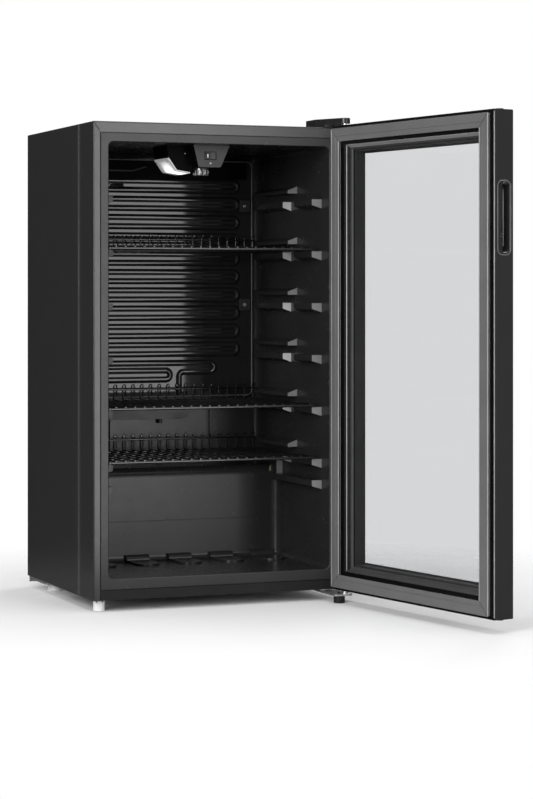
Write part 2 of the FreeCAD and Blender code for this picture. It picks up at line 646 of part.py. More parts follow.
def make_shelf(support_z):
    """A welded wire shelf whose long wires turn up at the back to make a fence."""
    z = support_z + SHELF_GAP + SIDE_WIRE / 2
    side_x = SHELF_HALF - SIDE_WIRE / 2
    wires = []
    for x in (-side_x, side_x):
        wires.append(rod(x, SHELF_FRONT_Y, z, SIDE_WIRE / 2, SHELF_BACK_Y - 12 - SHELF_FRONT_Y, Y_AXIS))
    cross_length = 2 * side_x
    for y, radius in ((SHELF_FRONT_Y, SIDE_WIRE / 2 - 0.1), (118, CROSS_WIRE / 2), (210, CROSS_WIRE / 2),
                      (SHELF_BACK_Y - 12, SIDE_WIRE / 2 - 0.1)):
        wires.append(rod(-side_x, y, z, radius, cross_length, X_AXIS))
    deck = z + CROSS_WIRE / 2 + LONG_WIRE / 2 - 0.4
    top = support_z + FENCE_HEIGHT
    first_x = -WIRE_PITCH * (WIRE_COUNT - 1) / 2
    for index in range(WIRE_COUNT):
        x = first_x + WIRE_PITCH * index
        points = [(x, SHELF_FRONT_Y - 1, deck), (x, SHELF_BACK_Y, deck), (x, SHELF_BACK_Y, top),
                  (x, SHELF_BACK_Y - 9, top)]
        wires.append(tube_along(points, LONG_WIRE / 2, 3.2))
    wires.append(rod(first_x - 3, SHELF_BACK_Y - 2.6, top - 7, 1.6, -2 * first_x + 6, X_AXIS))
    return fuse(wires)


# ---------------------------------------------------------------- compressor bay

def make_compressor():
    """Hermetic compressor: a welded pot with a flange seam, feet brackets and stub tubes."""
    x, y = 90.0, BAY_MIDDLE_Y
    lower = Part.makeCylinder(58, 62, Vector(x, y, 34))
    lower = lower.makeFillet(16, edges_where(lower, lambda c, e: c.z < 35))
    upper = Part.makeCylinder(56, 68, Vector(x, y, 96))
    upper = upper.makeFillet(26, edges_where(upper, lambda c, e: c.z > 160))
    seam = Part.makeCylinder(60.5, 5, Vector(x, y, 93))
    bracket = box(x - 82, x + 82, y - 20, y + 20, 31, 37)
    holes = [rod(x + dx, y + dy, 25, 4.2, 30) for dx in (-75, 75) for dy in (-14, 14)]
    discharge_stub = rod(x - 50, y + 22, 75, 4, 24, Vector(-1, 0.35, 0))
    suction_stub = rod(x - 50, y - 6, 66, 3.2, 22, Vector(-1, -0.2, 0))
    stubs = [discharge_stub, suction_stub]
    return fuse([lower, upper, seam, bracket.cut(Part.makeCompound(holes))] + stubs)


def make_terminal_cover():
    """Plastic cover over the compressor's terminals and relay."""
    cover = box(151.5, 178, BAY_MIDDLE_Y - 24, BAY_MIDDLE_Y + 24, 60, 112)
    cover = cover.makeFillet(5, edges_where(cover, lambda c, e: is_along(e, Y_AXIS) and c.x > 170))
    return cover


def make_base_plate():
    """Galvanised channel across the bottom of the bay, with turned-down ends."""
    side = HALF_WIDTH - SHEET - 0.3
    low = CABINET_BOTTOM - 5
    plate = box(-side, side, 288, 398, low, low + 1.6)
    back_lip = box(-side, side, 396.4, 398, low - 6, low + 1.6)
    front_lip = box(-side, side, 288, 289.6, low, low + 8)
    ends = [box(s * side - (1.6 if s > 0 else 0), s * side + (1.6 if s < 0 else 0), 288, 398, low, low + 20)
            for s in (-1, 1)]
    plate = fuse([plate, back_lip, front_lip] + ends)
    slots = [box(x - 22, x + 22, 336, 344, low - 1, low + 3) for x in (-140, -70)]
    bolts = [rod(90 + dx, BAY_MIDDLE_Y + dy, low - 1, 4.1, 4) for dx in (-75, 75) for dy in (-14, 14)]
    return plate.cut(Part.makeCompound(slots + bolts))


def mount_points():
    """Where the compressor stands on its rubber mounts."""
    return [(90 + dx, BAY_MIDDLE_Y + dy) for dx in (-75, 75) for dy in (-14, 14)]


def make_rubber_mounts():
    """Rubber mounts between the base plate and the compressor's bracket."""
    low = CABINET_BOTTOM - 5 + 1.6
    mounts = []
    for x, y in mount_points():
        body = rod(x, y, low, 9, 31 - low)
        waist = Part.makeTorus(10.5, 3, Vector(x, y, (low + 31) / 2))
        mounts.append(body.cut(waist).cut(rod(x, y, low - 1, 4.05, 40)))
    return Part.makeCompound(mounts)


def make_mount_bolts():
    """Bolts that hold the compressor down through its rubber mounts."""
    low = CABINET_BOTTOM - 5
    bolts = []
    for x, y in mount_points():
        shank = rod(x, y, low - 4, 4.0, 48 - low)
        head = rod(x, y, low - 4, 7, 3.9)
        nut = rod(x, y, 37.05, 7, 5)
        bolts.append(fuse([shank, head, nut]))
    return Part.makeCompound(bolts)


def make_evaporation_pan():
    """Plastic tray over the compressor that catches meltwater."""
    tray = rounded_box(-60, 150, 282, 388, 168, 186, 12, Z_AXIS)
    room = rounded_box(-58, 148, 284, 386, 170, 190, 10, Z_AXIS)
    return tray.cut(room)


def discharge_route():
    """Discharge pipe from the compressor to the drier."""
    return [(18.5, 350.6, 66), (18.5 - 30, 345, 66), (-40, 340, 66), (-40, 340, 120), (-110, 345, 120),
            (-110, 345, 60)]


def suction_route():
    """Suction pipe from the cabinet down to the compressor."""
    return [(120, 380, 214), (120, 380, 192), (160, 392, 192), (160, 392, 150), (0, 392, 150), (0, 370, 90),
            (14, 364.0, 75)]


def make_drier():
    """Copper filter drier: a fat tube with necked ends."""
    body = rod(-150, 345, 60, 9, 66)
    top = Part.makeCone(9, 3, 12, Vector(-150, 345, 126))
    low = Part.makeCone(3, 9, 12, Vector(-150, 345, 48))
    return fuse([body, top, low])


def make_lead_gland():
    """Inlet bush where the mains lead enters at the back of the bay."""
    flange = rod(-190, CABINET_DEPTH - 6.2, 60, 12, 3, Y_AXIS)
    collar = Part.makeCone(9, 7, 10, Vector(-190, CABINET_DEPTH - 12, 60), Y_AXIS)
    body = fuse([collar, flange])
    return body.cut(rod(-190, CABINET_DEPTH - 20, 60, 4, 30, Y_AXIS))


def make_gland_bracket():
    """Small steel bracket on the base plate that holds the lead gland."""
    low = CABINET_BOTTOM - 5 + 1.6
    foot = box(-210, -170, 380, CABINET_DEPTH - 9.5, low, low + 1.5)
    wall = box(-210, -170, CABINET_DEPTH - 11, CABINET_DEPTH - 9.5, low, 82)
    return fuse([foot, wall]).cut(rod(-190, CABINET_DEPTH - 20, 60, 9.1, 30, Y_AXIS))


# ---------------------------------------------------------------- feet

def levelling_foot(x, y, top, castellated):
    """A screw-in foot: a plastic drum on a threaded stud."""
    drum = rod(x, y, 0, FOOT_RADIUS, top - 0.4)
    drum = drum.makeFillet(1.2, edges_where(drum, lambda c, e: c.z < 0.1))
    if castellated:
        notches = []
        for index in range(3):
            notch = box(-1.6, 1.6, -FOOT_RADIUS - 1, FOOT_RADIUS + 1, top - 4.5, top + 1)
            notch.rotate(Vector(0, 0, 0), Z_AXIS, 60 * index + 20)
            notch.translate(Vector(x, y, 0))
            notches.append(notch)
        drum = drum.cut(Part.makeCompound(notches))
    return drum


def make_foot_left():
    """Front left levelling foot with its stud."""
    x, y = LEFT_FOOT
    drum = levelling_foot(x, y, CABINET_BOTTOM, True)
    return fuse([drum, rod(x, y, 4, 3, CABINET_BOTTOM - 3.1)])


def make_foot_right():
    """Front right levelling foot, under the lower hinge plate."""
    x, y = RIGHT_FOOT
    drum = levelling_foot(x, y, LOWER_PLATE_Z, False)
    return fuse([drum, rod(x, y, 4, 3, 16)])


def make_rear_feet():
    """Two fixed feet under the compressor base plate."""
    feet = []
    for side in (-1, 1):
        foot = Part.makeCone(15, 12, 15, Vector(side * REAR_FOOT_X, REAR_FOOT_Y, 0), Z_AXIS)
        feet.append(foot.makeFillet(1.5, edges_where(foot, lambda c, e: c.z < 0.1)))
    return Part.makeCompound(feet)


def make_foot_bracket():
    """Steel plate behind the bottom rail that takes the left foot's stud."""
    x, y = LEFT_FOOT
    plate = box(-232, -180, 16.2, 58, CABINET_BOTTOM - 0.05, CABINET_BOTTOM + 0.9)
    return plate.cut(rod(x, y, 10, 3 + RUNNING_GAP, 20))


# ---------------------------------------------------------------- hinges

def hinge_outline():
    """Plan of the upper hinge: a round end at the pin and a foot on the cabinet's top."""
    end = HINGE_END_RADIUS
    left_start = Vector(PIVOT_X - end, PIVOT_Y, 0)
    right_start = Vector(PIVOT_X + end, PIVOT_Y, 0)
    tip = Vector(PIVOT_X, PIVOT_Y - end, 0)
    corners = [right_start, Vector(HALF_WIDTH - 1.2, 8, 0), Vector(HALF_WIDTH - 1.2, 65, 0),
               Vector(190, 65, 0), Vector(190, 24, 0), left_start]
    edges = [Part.LineSegment(a, b).toShape() for a, b in zip(corners, corners[1:])]
    edges.append(Part.Arc(left_start, tip, right_start).toShape())
    return Part.Face(Part.Wire(edges))


def hinge_slab(z0, z1, inset=0.0):
    """The upper hinge's plan, pulled in by an inset, between two heights."""
    face = hinge_outline()
    if inset:
        face = face.makeOffset2D(-inset, 0, False, False, False)
    slab = face.extrude(Vector(0, 0, z1 - z0))
    slab.translate(Vector(0, 0, z0))
    return slab


def hinge_screw_points():
    """Screws that fix the upper hinge to the cabinet."""
    return [(203, 40), (221, 30), (203, 56), (221, 50)]


def make_upper_hinge_plate():
    """Steel plate that carries the upper pin."""
    plate = hinge_slab(HINGE_PLATE_Z, HINGE_PLATE_Z + 3, 2.4)
    holes = [rod(x, y, HINGE_PLATE_Z - 1, 2.6, 5) for x, y in hinge_screw_points()]
    holes.append(rod(PIVOT_X, PIVOT_Y, HINGE_PLATE_Z - 1, PIN_RADIUS, 5))
    return plate.cut(Part.makeCompound(holes))


def make_upper_hinge_pad():
    """Packing piece between the hinge plate and the cabinet's top."""
    pad = hinge_slab(CABINET_TOP, HINGE_PLATE_Z, 2.4).common(box(180, 240, 6, 70, 840, 870))
    return pad.cut(Part.makeCompound([rod(x, y, 840, 2.6, 20) for x, y in hinge_screw_points()]))


def make_upper_hinge_cover():
    """Plastic cap over the upper hinge."""
    cap = hinge_slab(HINGE_PLATE_Z + 0.2, HINGE_TOP)
    rim = edges_where(cap, lambda c, e: c.z > HINGE_TOP - 0.1)
    cap = cap.makeFillet(1.0, rim)
    skirt = hinge_slab(CABINET_TOP + 0.1, HINGE_PLATE_Z + 0.2).common(box(180, 240, 1, 70, 840, 870))
    return fuse([cap, skirt]).cut(hinge_slab(CABINET_TOP - 1, HINGE_TOP - 2, 2.2))


def make_upper_pin():
    """Upper hinge pin with its shoulder."""
    low = DOOR_TOP - BUSH_LENGTH + 2
    stem = rod(PIVOT_X, PIVOT_Y, low, PIN_RADIUS, HINGE_PLATE_Z + 4 - low)
    head = rod(PIVOT_X, PIVOT_Y, HINGE_PLATE_Z + 3, PIN_RADIUS + 1.4, 3)
    return fuse([stem, head])


def lower_hinge_holes():
    """Screws that fix the lower hinge under the cabinet."""
    return [(206, 28), (226, 28), (206, 48), (226, 48)]


def make_lower_hinge_plate():
    """Galvanised plate under the cabinet and the door, with room for a levelling foot."""
    plate = box(198, HALF_WIDTH - 0.5, -47, 60, LOWER_PLATE_Z, LOWER_PLATE_Z + LOWER_PLATE)
    front = edges_where(plate, lambda c, e: is_along(e, Z_AXIS) and c.y < 0)
    plate = plate.makeFillet(9, front)
    riser = box(198, HALF_WIDTH - 1.2, 18, 60, LOWER_PLATE_Z + LOWER_PLATE, CABINET_BOTTOM)
    plate = fuse([plate, riser])
    holes = [rod(x, y, 5, 2.6, 30) for x, y in lower_hinge_holes()]
    holes.append(rod(RIGHT_FOOT[0], RIGHT_FOOT[1], 5, 3 + RUNNING_GAP, 20))
    holes.append(rod(PIVOT_X, PIVOT_Y, 5, PIN_RADIUS, 20))
    return plate.cut(Part.makeCompound(holes))


def make_lower_pin():
    """Lower hinge pin with the washer that carries the door."""
    low = LOWER_PLATE_Z - 1
    stem = rod(PIVOT_X, PIVOT_Y, low, PIN_RADIUS, DOOR_BOTTOM + BUSH_LENGTH - 3 - low)
    washer = rod(PIVOT_X, PIVOT_Y, LOWER_PLATE_Z + LOWER_PLATE, 6.8, 2.4)
    collar = rod(PIVOT_X, PIVOT_Y, LOWER_PLATE_Z + LOWER_PLATE, 5.6, DOOR_BOTTOM - 16.4)
    return fuse([stem, washer, collar])


def make_hinge_screws():
    """Screws of both hinges: heads up on the upper one, heads down on the lower one."""
    plate_top = HINGE_PLATE_Z + 3
    reach = plate_top - CABINET_TOP - 0.2
    upper = [screw(x, y, plate_top, Z_AXIS, 4.2, 2.2, 2.5, reach) for x, y in hinge_screw_points()]
    lower = [screw(x, y, LOWER_PLATE_Z, Vector(0, 0, -1), 4.2, 2.2, 2.5, 7) for x, y in lower_hinge_holes()]
    return Part.makeCompound(upper + lower)


def make_hole_caps():
    """Caps in the hinge holes of the other hand, on the cabinet's top left."""
    caps = []
    for x, y in hinge_screw_points():
        cap = rod(-x, y, CABINET_TOP, 4.2, 1.2)
        caps.append(cap.makeFillet(0.8, edges_where(cap, lambda c, e: c.z > CABINET_TOP + 1)))
    return Part.makeCompound(caps)


# ---------------------------------------------------------------- door, built closed

def door_y(depth):
    """Y of a plane that lies a depth in front of the door's inner face; outwards is positive."""
    return -DOOR_GAP - depth


def door_block(inset, depth0, depth1):
    """The door's outline pulled in by an inset, between two depths."""
    return box(-HALF_WIDTH + inset, HALF_WIDTH - inset, door_y(depth1), door_y(depth0),
               DOOR_BOTTOM + inset, DOOR_TOP - inset)


def door_ring(inset0, inset1, depth0, depth1):
    """A rectangular ring of the door between two insets and two depths."""
    return door_block(inset0, depth0, depth1).cut(door_block(inset1, depth0 - 1, depth1 + 1))


def door_funnel(inset0, depth0, inset1, depth1):
    """A solid whose outline shrinks evenly from one inset to another."""
    wires = []
    for inset, depth in ((inset0, depth0), (inset1, depth1)):
        x, z0, z1 = HALF_WIDTH - inset, DOOR_BOTTOM + inset, DOOR_TOP - inset
        corners = [Vector(-x, door_y(depth), z0), Vector(x, door_y(depth), z0),
                   Vector(x, door_y(depth), z1), Vector(-x, door_y(depth), z1)]
        wires.append(Part.makePolygon(corners + corners[:1]))
    return Part.makeLoft(wires, True, True)


def handle_room():
    """The space that the handle cup takes in the door's free edge."""
    middle = door_y(HANDLE_CENTRE)
    return rounded_box(-HALF_WIDTH - 1, -HALF_WIDTH + HANDLE_DEPTH, middle - HANDLE_WIDTH / 2,
                       middle + HANDLE_WIDTH / 2, HANDLE_LOW, HANDLE_HIGH, 7, X_AXIS)


def bush_room():
    """The space that the two hinge bushes take in the door."""
    top = rod(PIVOT_X, PIVOT_Y, DOOR_TOP - BUSH_LENGTH, BUSH_RADIUS, BUSH_LENGTH + 1)
    low = rod(PIVOT_X, PIVOT_Y, DOOR_BOTTOM - 1, BUSH_RADIUS, BUSH_LENGTH + 1)
    return Part.makeCompound([top, low])


def make_door_frame():
    """Outer frame of the door: edge faces, front bezel, floor and window wall."""
    deep = DOOR_THICKNESS
    pane_seat = deep - OUTER_PANE - 0.2
    edge = door_ring(0, DOOR_WALL, 1.4, deep)
    bezel = door_ring(0, BEZEL, pane_seat, deep)
    floor = door_ring(0, DOOR_BORDER, pane_seat - DOOR_WALL, pane_seat)
    wall = door_ring(DOOR_BORDER - DOOR_WALL, DOOR_BORDER, INNER_PANE_DEPTH - 0.5, pane_seat)
    frame = fuse([edge, bezel, floor, wall])
    corners = edges_where(frame, lambda c, e: is_along(e, Y_AXIS) and abs(c.x) > HALF_WIDTH - 0.1)
    frame = frame.makeFillet(2.0, corners)
    front = edges_where(frame, lambda c, e: c.y < door_y(deep) + 0.05 and (
        abs(c.x) > HALF_WIDTH - 1 or c.z < DOOR_BOTTOM + 1 or c.z > DOOR_TOP - 1))
    frame = frame.makeFillet(1.2, front)
    return frame.cut(handle_room()).cut(bush_room())


def make_inner_frame():
    """Inner frame of the door: a flat rim with the gasket groove and a lip sloping to the window."""
    rim = door_ring(0.4, DOOR_BORDER, 0, INNER_PANE_DEPTH - 0.5)
    funnel = door_funnel(35.2, -0.01, DOOR_BORDER + 0.01, INNER_PANE_DEPTH - 0.49)
    hollow = door_ring(0, DOOR_BORDER - DOOR_WALL - 2.5, DOOR_WALL, DOOR_THICKNESS)
    hollow = hollow.fuse(door_ring(0, DOOR_BORDER - DOOR_WALL + 0.01, 1.4 + 8, DOOR_THICKNESS))
    edge_step = door_ring(-1, DOOR_WALL + 0.02, 1.4 - 0.02, DOOR_THICKNESS)
    wall_step = door_ring(DOOR_BORDER - DOOR_WALL - 0.02, DOOR_BORDER + 1, INNER_PANE_DEPTH - 0.52, 40)
    ring = rim.cut(funnel).cut(hollow).cut(edge_step).cut(wall_step)
    groove = door_ring(12, 20, -1, 2)
    rim_edge = edges_where(ring, lambda c, e: c.y > door_y(0.05) and (
        abs(c.x) > HALF_WIDTH - 1 or c.z < DOOR_BOTTOM + 1 or c.z > DOOR_TOP - 1))
    ring = ring.makeFillet(0.8, rim_edge)
    return ring.cut(groove).cut(bush_room())


def make_door_core():
    """Foam that fills the hollow between the door's two frames."""
    floor = DOOR_THICKNESS - OUTER_PANE - 0.2 - DOOR_WALL
    core = door_ring(DOOR_WALL + 0.05, DOOR_BORDER - DOOR_WALL - 2.6, DOOR_WALL + 0.05, floor - 0.05)
    return core.cut(handle_room()).cut(bush_room())


def make_outer_pane():
    """Front pane of toughened glass."""
    return door_block(BEZEL + 0.2, DOOR_THICKNESS - OUTER_PANE - 0.2, DOOR_THICKNESS - 0.2)


def make_inner_pane():
    """Inner pane of the sealed glass unit."""
    return door_block(DOOR_BORDER + 0.1, INNER_PANE_DEPTH, INNER_PANE_DEPTH + INNER_PANE)


def make_spacer():
    """Spacer bar between the two panes."""
    return door_ring(DOOR_BORDER + 0.1, WINDOW_BORDER, INNER_PANE_DEPTH + INNER_PANE,
                     DOOR_THICKNESS - OUTER_PANE - 0.2)


def make_gasket():
    """Magnetic gasket: a foot in the groove, a narrow bellows and a wide soft head."""
    last = GASKET_INSET + GASKET_WIDTH
    foot = door_ring(12.1, 19.9, -1, 1.9)
    neck = door_ring(GASKET_INSET + 3, last - 3, -4.2, 0)
    bead = door_ring(GASKET_INSET + 1, last - 1, -2.6, -1.2)
    head = door_ring(GASKET_INSET, last, -GASKET_REACH, -3.6)
    top = door_y(-GASKET_REACH) - 0.05
    rim = edges_where(head, lambda c, e: c.y > top)
    head = head.makeFillet(2.2, rim)
    line = door_ring(GASKET_INSET + 15.5, GASKET_INSET + 17, -GASKET_REACH - 1, -GASKET_REACH + 0.7)
    return fuse([foot, neck, bead, head]).cut(line)


def make_handle_cup():
    """Finger cup set in the free edge of the door."""
    middle = door_y(HANDLE_CENTRE)
    left = -HALF_WIDTH
    cup = rounded_box(left + 0.2, left + HANDLE_DEPTH - 0.1, middle - HANDLE_WIDTH / 2 + 0.1,
                      middle + HANDLE_WIDTH / 2 - 0.1, HANDLE_LOW + 0.1, HANDLE_HIGH - 0.1, 6.9, X_AXIS)
    near, far = SLOT_DEPTHS
    slot = rounded_box(left - 1, left + HANDLE_DEPTH - 2.5, door_y(far), door_y(near), HANDLE_LOW + 5,
                       HANDLE_HIGH - 5, 7, X_AXIS)
    cup = cup.cut(slot)
    mouth = edges_where(cup, lambda c, e: c.x < left + 0.3 and door_y(far) - 1 < c.y < door_y(near) + 1
                        and HANDLE_LOW + 4 < c.z < HANDLE_HIGH - 4)
    return cup.makeFillet(1.0, mouth)


def make_door_bushes():
    """Plastic bushes that turn on the two hinge pins."""
    bushes = []
    for z in (DOOR_TOP - BUSH_LENGTH, DOOR_BOTTOM):
        bush = rod(PIVOT_X, PIVOT_Y, z, BUSH_RADIUS - 0.02, BUSH_LENGTH)
        bushes.append(bush.cut(rod(PIVOT_X, PIVOT_Y, z - 1, PIN_RADIUS + RUNNING_GAP, BUSH_LENGTH + 2)))
    return Part.makeCompound(bushes)


def make_door_plugs():
    """Plugs in the bush holes of the other hand."""
    caps = []
    for z, axis in ((DOOR_TOP, Z_AXIS), (DOOR_BOTTOM, Vector(0, 0, -1))):
        cap = Part.makeCylinder(6.5, 1.4, Vector(-PIVOT_X, PIVOT_Y, z), axis)
        far = edges_where(cap, lambda c, e: abs(c.z - z) > 1)
        caps.append(cap.makeFillet(0.9, far))
    return Part.makeCompound(caps)


# ---------------------------------------------------------------- assembly

def cabinet_parts():
    """Every fixed piece of the cabinet, by node name."""
    condenser = make_condenser()
    drain = tube_along(drain_route(), 5, 6)
    suction = tube_along(suction_route(), 3.2, 8)
    plugs = make_wall_plugs()
    parts = {
        "outer_shell": make_outer_shell(),
        "back_panel": make_back_panel(),
        "front_rail": make_front_rail(),
        "floor_pan": make_floor_pan(),
        "liner": make_liner([drain, plugs]),
        "condenser_tube": condenser,
        "foam_insulation": make_foam([condenser, drain, suction]),
        "evaporator_plate": make_evaporator_plate(),
        "evaporator_tube": make_evaporator_tube(),
        "plate_clips": make_plate_clips(),
        "plate_screws": make_plate_screws(),
        "drip_trough": make_drip_trough(),
        "drain_tube": drain,
        "wall_plugs": plugs,
        "control_box": make_control_box(),
        "face_plate": make_face_plate(),
        "lamp_lens": make_lamp_lens(),
        "led_board": make_led_board(),
        "indicator": make_indicator(),
        "switch_body": make_switch_body(),
        "thermostat": make_thermostat(),
        "sensor_tube": tube_along(sensor_route(), 1.6, 6),
        "compressor": make_compressor(),
        "terminal_cover": make_terminal_cover(),
        "base_plate": make_base_plate(),
        "rubber_mounts": make_rubber_mounts(),
        "mount_bolts": make_mount_bolts(),
        "evaporation_pan": make_evaporation_pan(),
        "discharge_pipe": tube_along(discharge_route(), 3.0, 9),
        "suction_pipe": suction,
        "filter_drier": make_drier(),
        "lead_gland": make_lead_gland(),
        "gland_bracket": make_gland_bracket(),
        "rear_feet": make_rear_feet(),
        "foot_bracket": make_foot_bracket(),
        "upper_hinge_plate": make_upper_hinge_plate(),
        "upper_hinge_pad": make_upper_hinge_pad(),
        "upper_hinge_cover": make_upper_hinge_cover(),
        "upper_hinge_pin": make_upper_pin(),
        "lower_hinge_plate": make_lower_hinge_plate(),
        "lower_hinge_pin": make_lower_pin(),
        "hinge_screws": make_hinge_screws(),
        "hole_caps": make_hole_caps(),
    }
    return parts


def moving_parts():
    """Knob, rocker, shelves and levelling feet, by node name."""
    parts = {
        "thermostat_knob": make_knob(),
        "light_rocker": make_rocker(),
        "foot_left": make_foot_left(),
        "foot_right": make_foot_right(),
    }
    first = make_shelf(0)
    for name, level in SHELF_LEVELS.items():
        parts["shelf_" + name] = first.translated(Vector(0, 0, LEVEL_TOP - LEVEL_PITCH * level))
    return parts


def door_parts():
    """Every piece of the door, closed, by node name."""
    return {
        "door_frame": make_door_frame(),
        "door_inner_frame": make_inner_frame(),
        "door_core": make_door_core(),
        "outer_pane": make_outer_pane(),
        "inner_pane": make_inner_pane(),
        "pane_spacer": make_spacer(),
        "door_gasket": make_gasket(),
        "handle_cup": make_handle_cup(),
        "door_bushes": make_door_bushes(),
        "door_plugs": make_door_plugs(),
    }


def row_origin():
    """The point on the floor under the centre of the whole object with its door open."""
    turn = math.radians(DOOR_OPEN_DEG)
    corners = []
    for x in (-HALF_WIDTH, HALF_WIDTH):
        for depth in (-GASKET_REACH, DOOR_THICKNESS):
            dx, dy = x - PIVOT_X, door_y(depth) - PIVOT_Y
            corners.append((PIVOT_X + dx * math.cos(turn) - dy * math.sin(turn),
                            PIVOT_Y + dx * math.sin(turn) + dy * math.cos(turn)))
    right = max(x for x, y in corners)
    front = min(y for x, y in corners)
    return Vector((right - HALF_WIDTH) / 2, (front + CABINET_DEPTH) / 2, 0)


def main():
    """Build every node and write it to its STEP file."""
    parts = cabinet_parts()
    parts.update(moving_parts())
    for name, shape in door_parts().items():
        shape.rotate(Vector(PIVOT_X, PIVOT_Y, 0), Z_AXIS, DOOR_OPEN_DEG)
        parts[name] = shape
    shift = row_origin().multiply(-1)
    os.makedirs("parts", exist_ok=True)
    for name, shape in parts.items():
        shape.translate(shift)
        shape.exportStep("parts/" + name + ".step")


if __name__ == "__main__":
    main()
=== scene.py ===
"""Looks of the under-counter glass door cooler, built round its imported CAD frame.

Pieces are made in the cabinet's own millimetres (X right of the centre plane, Y back from the front
plane, Z up from the floor) and placed in the row frame, in metres. Door pieces are made with the door
closed and swung open with it.
"""

import json
import math

import bmesh
import bpy
from mathutils import Matrix, Vector

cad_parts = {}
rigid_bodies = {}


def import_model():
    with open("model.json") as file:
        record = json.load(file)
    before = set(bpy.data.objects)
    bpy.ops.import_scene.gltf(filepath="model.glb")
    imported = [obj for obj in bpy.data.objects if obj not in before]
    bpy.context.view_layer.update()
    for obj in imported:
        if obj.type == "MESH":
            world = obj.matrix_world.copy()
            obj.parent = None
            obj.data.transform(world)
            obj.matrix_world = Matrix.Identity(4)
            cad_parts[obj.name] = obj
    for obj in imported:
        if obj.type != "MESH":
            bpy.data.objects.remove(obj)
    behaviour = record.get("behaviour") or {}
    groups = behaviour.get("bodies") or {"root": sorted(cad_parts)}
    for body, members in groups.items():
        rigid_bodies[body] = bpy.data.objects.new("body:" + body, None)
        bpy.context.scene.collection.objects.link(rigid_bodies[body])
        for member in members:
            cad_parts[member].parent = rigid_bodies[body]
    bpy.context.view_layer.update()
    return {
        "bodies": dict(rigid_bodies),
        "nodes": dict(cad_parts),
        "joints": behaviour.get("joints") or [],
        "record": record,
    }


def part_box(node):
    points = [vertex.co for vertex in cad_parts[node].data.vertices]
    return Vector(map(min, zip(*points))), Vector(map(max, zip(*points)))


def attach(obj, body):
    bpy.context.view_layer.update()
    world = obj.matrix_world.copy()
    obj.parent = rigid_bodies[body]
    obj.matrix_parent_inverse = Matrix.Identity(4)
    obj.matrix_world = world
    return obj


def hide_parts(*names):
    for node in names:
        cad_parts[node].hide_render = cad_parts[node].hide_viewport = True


MM = 0.001

# Camera
CAMERA_PLACE = (-1466.8, -3843.6, 553.8)
CAMERA_YAW = 0.384
LENS = 105.07
SHIFT_Y = -0.1343

# Light
FILL_FRONT = 0.30
FILL_BACK = 0.04
FLOOR_REACH = 1.7

# Cabinet
HALF_WIDTH = 236.0
CAVITY_HALF = 208.0
CREASE_Y = 84.0
GROOVE_X = 223.0
GROOVE_LOW = 38.0
GROOVE_HIGH = 830.3

# Ledges on the side walls
LEVEL_TOP = 722.0
LEVEL_PITCH = 94.0
LEVEL_COUNT = 6
LOW_LEDGE_TOP = 213.4
STEP_Y = 243.0
FRONT_LEDGE_Y = 35.4
FRONT_LEDGE_REACH = 19.0
REAR_LEDGE_Y = 179.0
REAR_LEDGE_REACH = 16.5
LEDGE_ROOT = -16.5
LEDGE_TIP = -10.6
UPPER_LEDGE_Y = 150.0
UPPER_LEDGE_REACH = 18.6
UPPER_LEDGE_LIFT = 15.0
UPPER_LEDGE_ROOT = 13.0
UPPER_LEDGE_TIP = 6.0
STEP_BLOCK_DEPTH = 22.0
STEP_BLOCK_TOP = 26.0
STEP_BLOCK_HEIGHT = 27.0
STEP_BLOCK_REACH = 12.0

# Evaporator
PLATE_FRONT = 330.0
PLATE_BOTTOM = 355.0
PLATE_TOP = 805.0
PLATE_HALF = 190.0
RUN_PITCH = 17.25
FIRST_TURN_Z = 755.7
FULL_TURNS = 10
TURN_X = 149.9
LAST_TURN_X = 111.4
DROP_X = 40.0
LOOP_X = 22.0
LOOP_RISE = 3.3
COVER_HEIGHT = 33.5

# Knob
KNOB_X = -5.0
KNOB_Y = 90.0
KNOB_RADIUS = 14.0
KNOB_MIDDLE = 769.5

# Control housing: the X and Z steps along its sloping left wall, and the places of its small screws
HOUSING_SLOPE = (15.9, -21.6)
LENS_SCREW_PLACE = (-72.4, 791.6)
LENS_SCREW_YS = (84, 141)
SIDE_SCREW_PLACE = (-40.5, 75, 802)

# Lamp
LENS_GLOW = 1.6
LENS_EDGE_GLOW = 0.2

# Glass: colour let through by one face, and its sheen at grazing angles
GLASS_TINT = (0.915, 0.917, 0.92, 1)
GLASS_SHEEN = 0.2

# Door
DOOR_GAP = 10.4
DOOR_BOTTOM = 22.6
DOOR_TOP = 851.0
GASKET_INSET = 5.5
GASKET_WIDTH = 24.5
RIM_LIP = 35.2
WINDOW_INSET = 40.0
PANE_DEPTH = 14.0
OUTER_PANE_DEPTH = 34.6
CUP_CENTRE = 20.2
CUP_WIDTH = 28.8
CUP_LOW = 613.5
CUP_HIGH = 736.0
CUP_CORNER = 9.0
CUP_RIM_INSET = 1.2
BAR_DEPTH = 22.5
BAR_INSET = 6.5
BAR_LOW = 628.5
BAR_HIGH = 720.5
PRINT_INNER = 50.5
PRINT_OUTER = 11.0

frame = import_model()
nodes = frame["nodes"]


# ---------------------------------------------------------------- places

def cabinet_matrix():
    """From cabinet millimetres to the row frame."""
    low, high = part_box("outer_shell")
    origin = Vector(((low.x + high.x) / 2, low.y, 0))
    return Matrix.Translation(origin) @ Matrix.Diagonal((MM, MM, MM, 1))


def door_matrix():
    """From the closed door's millimetres to the row frame, with the door swung open."""
    hinge = next(joint for joint in frame["joints"] if joint["name"] == "door_hinge")
    pivot = Vector((hinge["pos_m"][0], hinge["pos_m"][1], 0))
    opened = math.radians(-hinge["range_deg"][0])
    swing = Matrix.Translation(pivot) @ Matrix.Rotation(opened, 4, "Z") @ Matrix.Translation(-pivot)
    return swing @ cabinet_matrix()


CABINET = cabinet_matrix()
DOOR = door_matrix()


# ---------------------------------------------------------------- materials

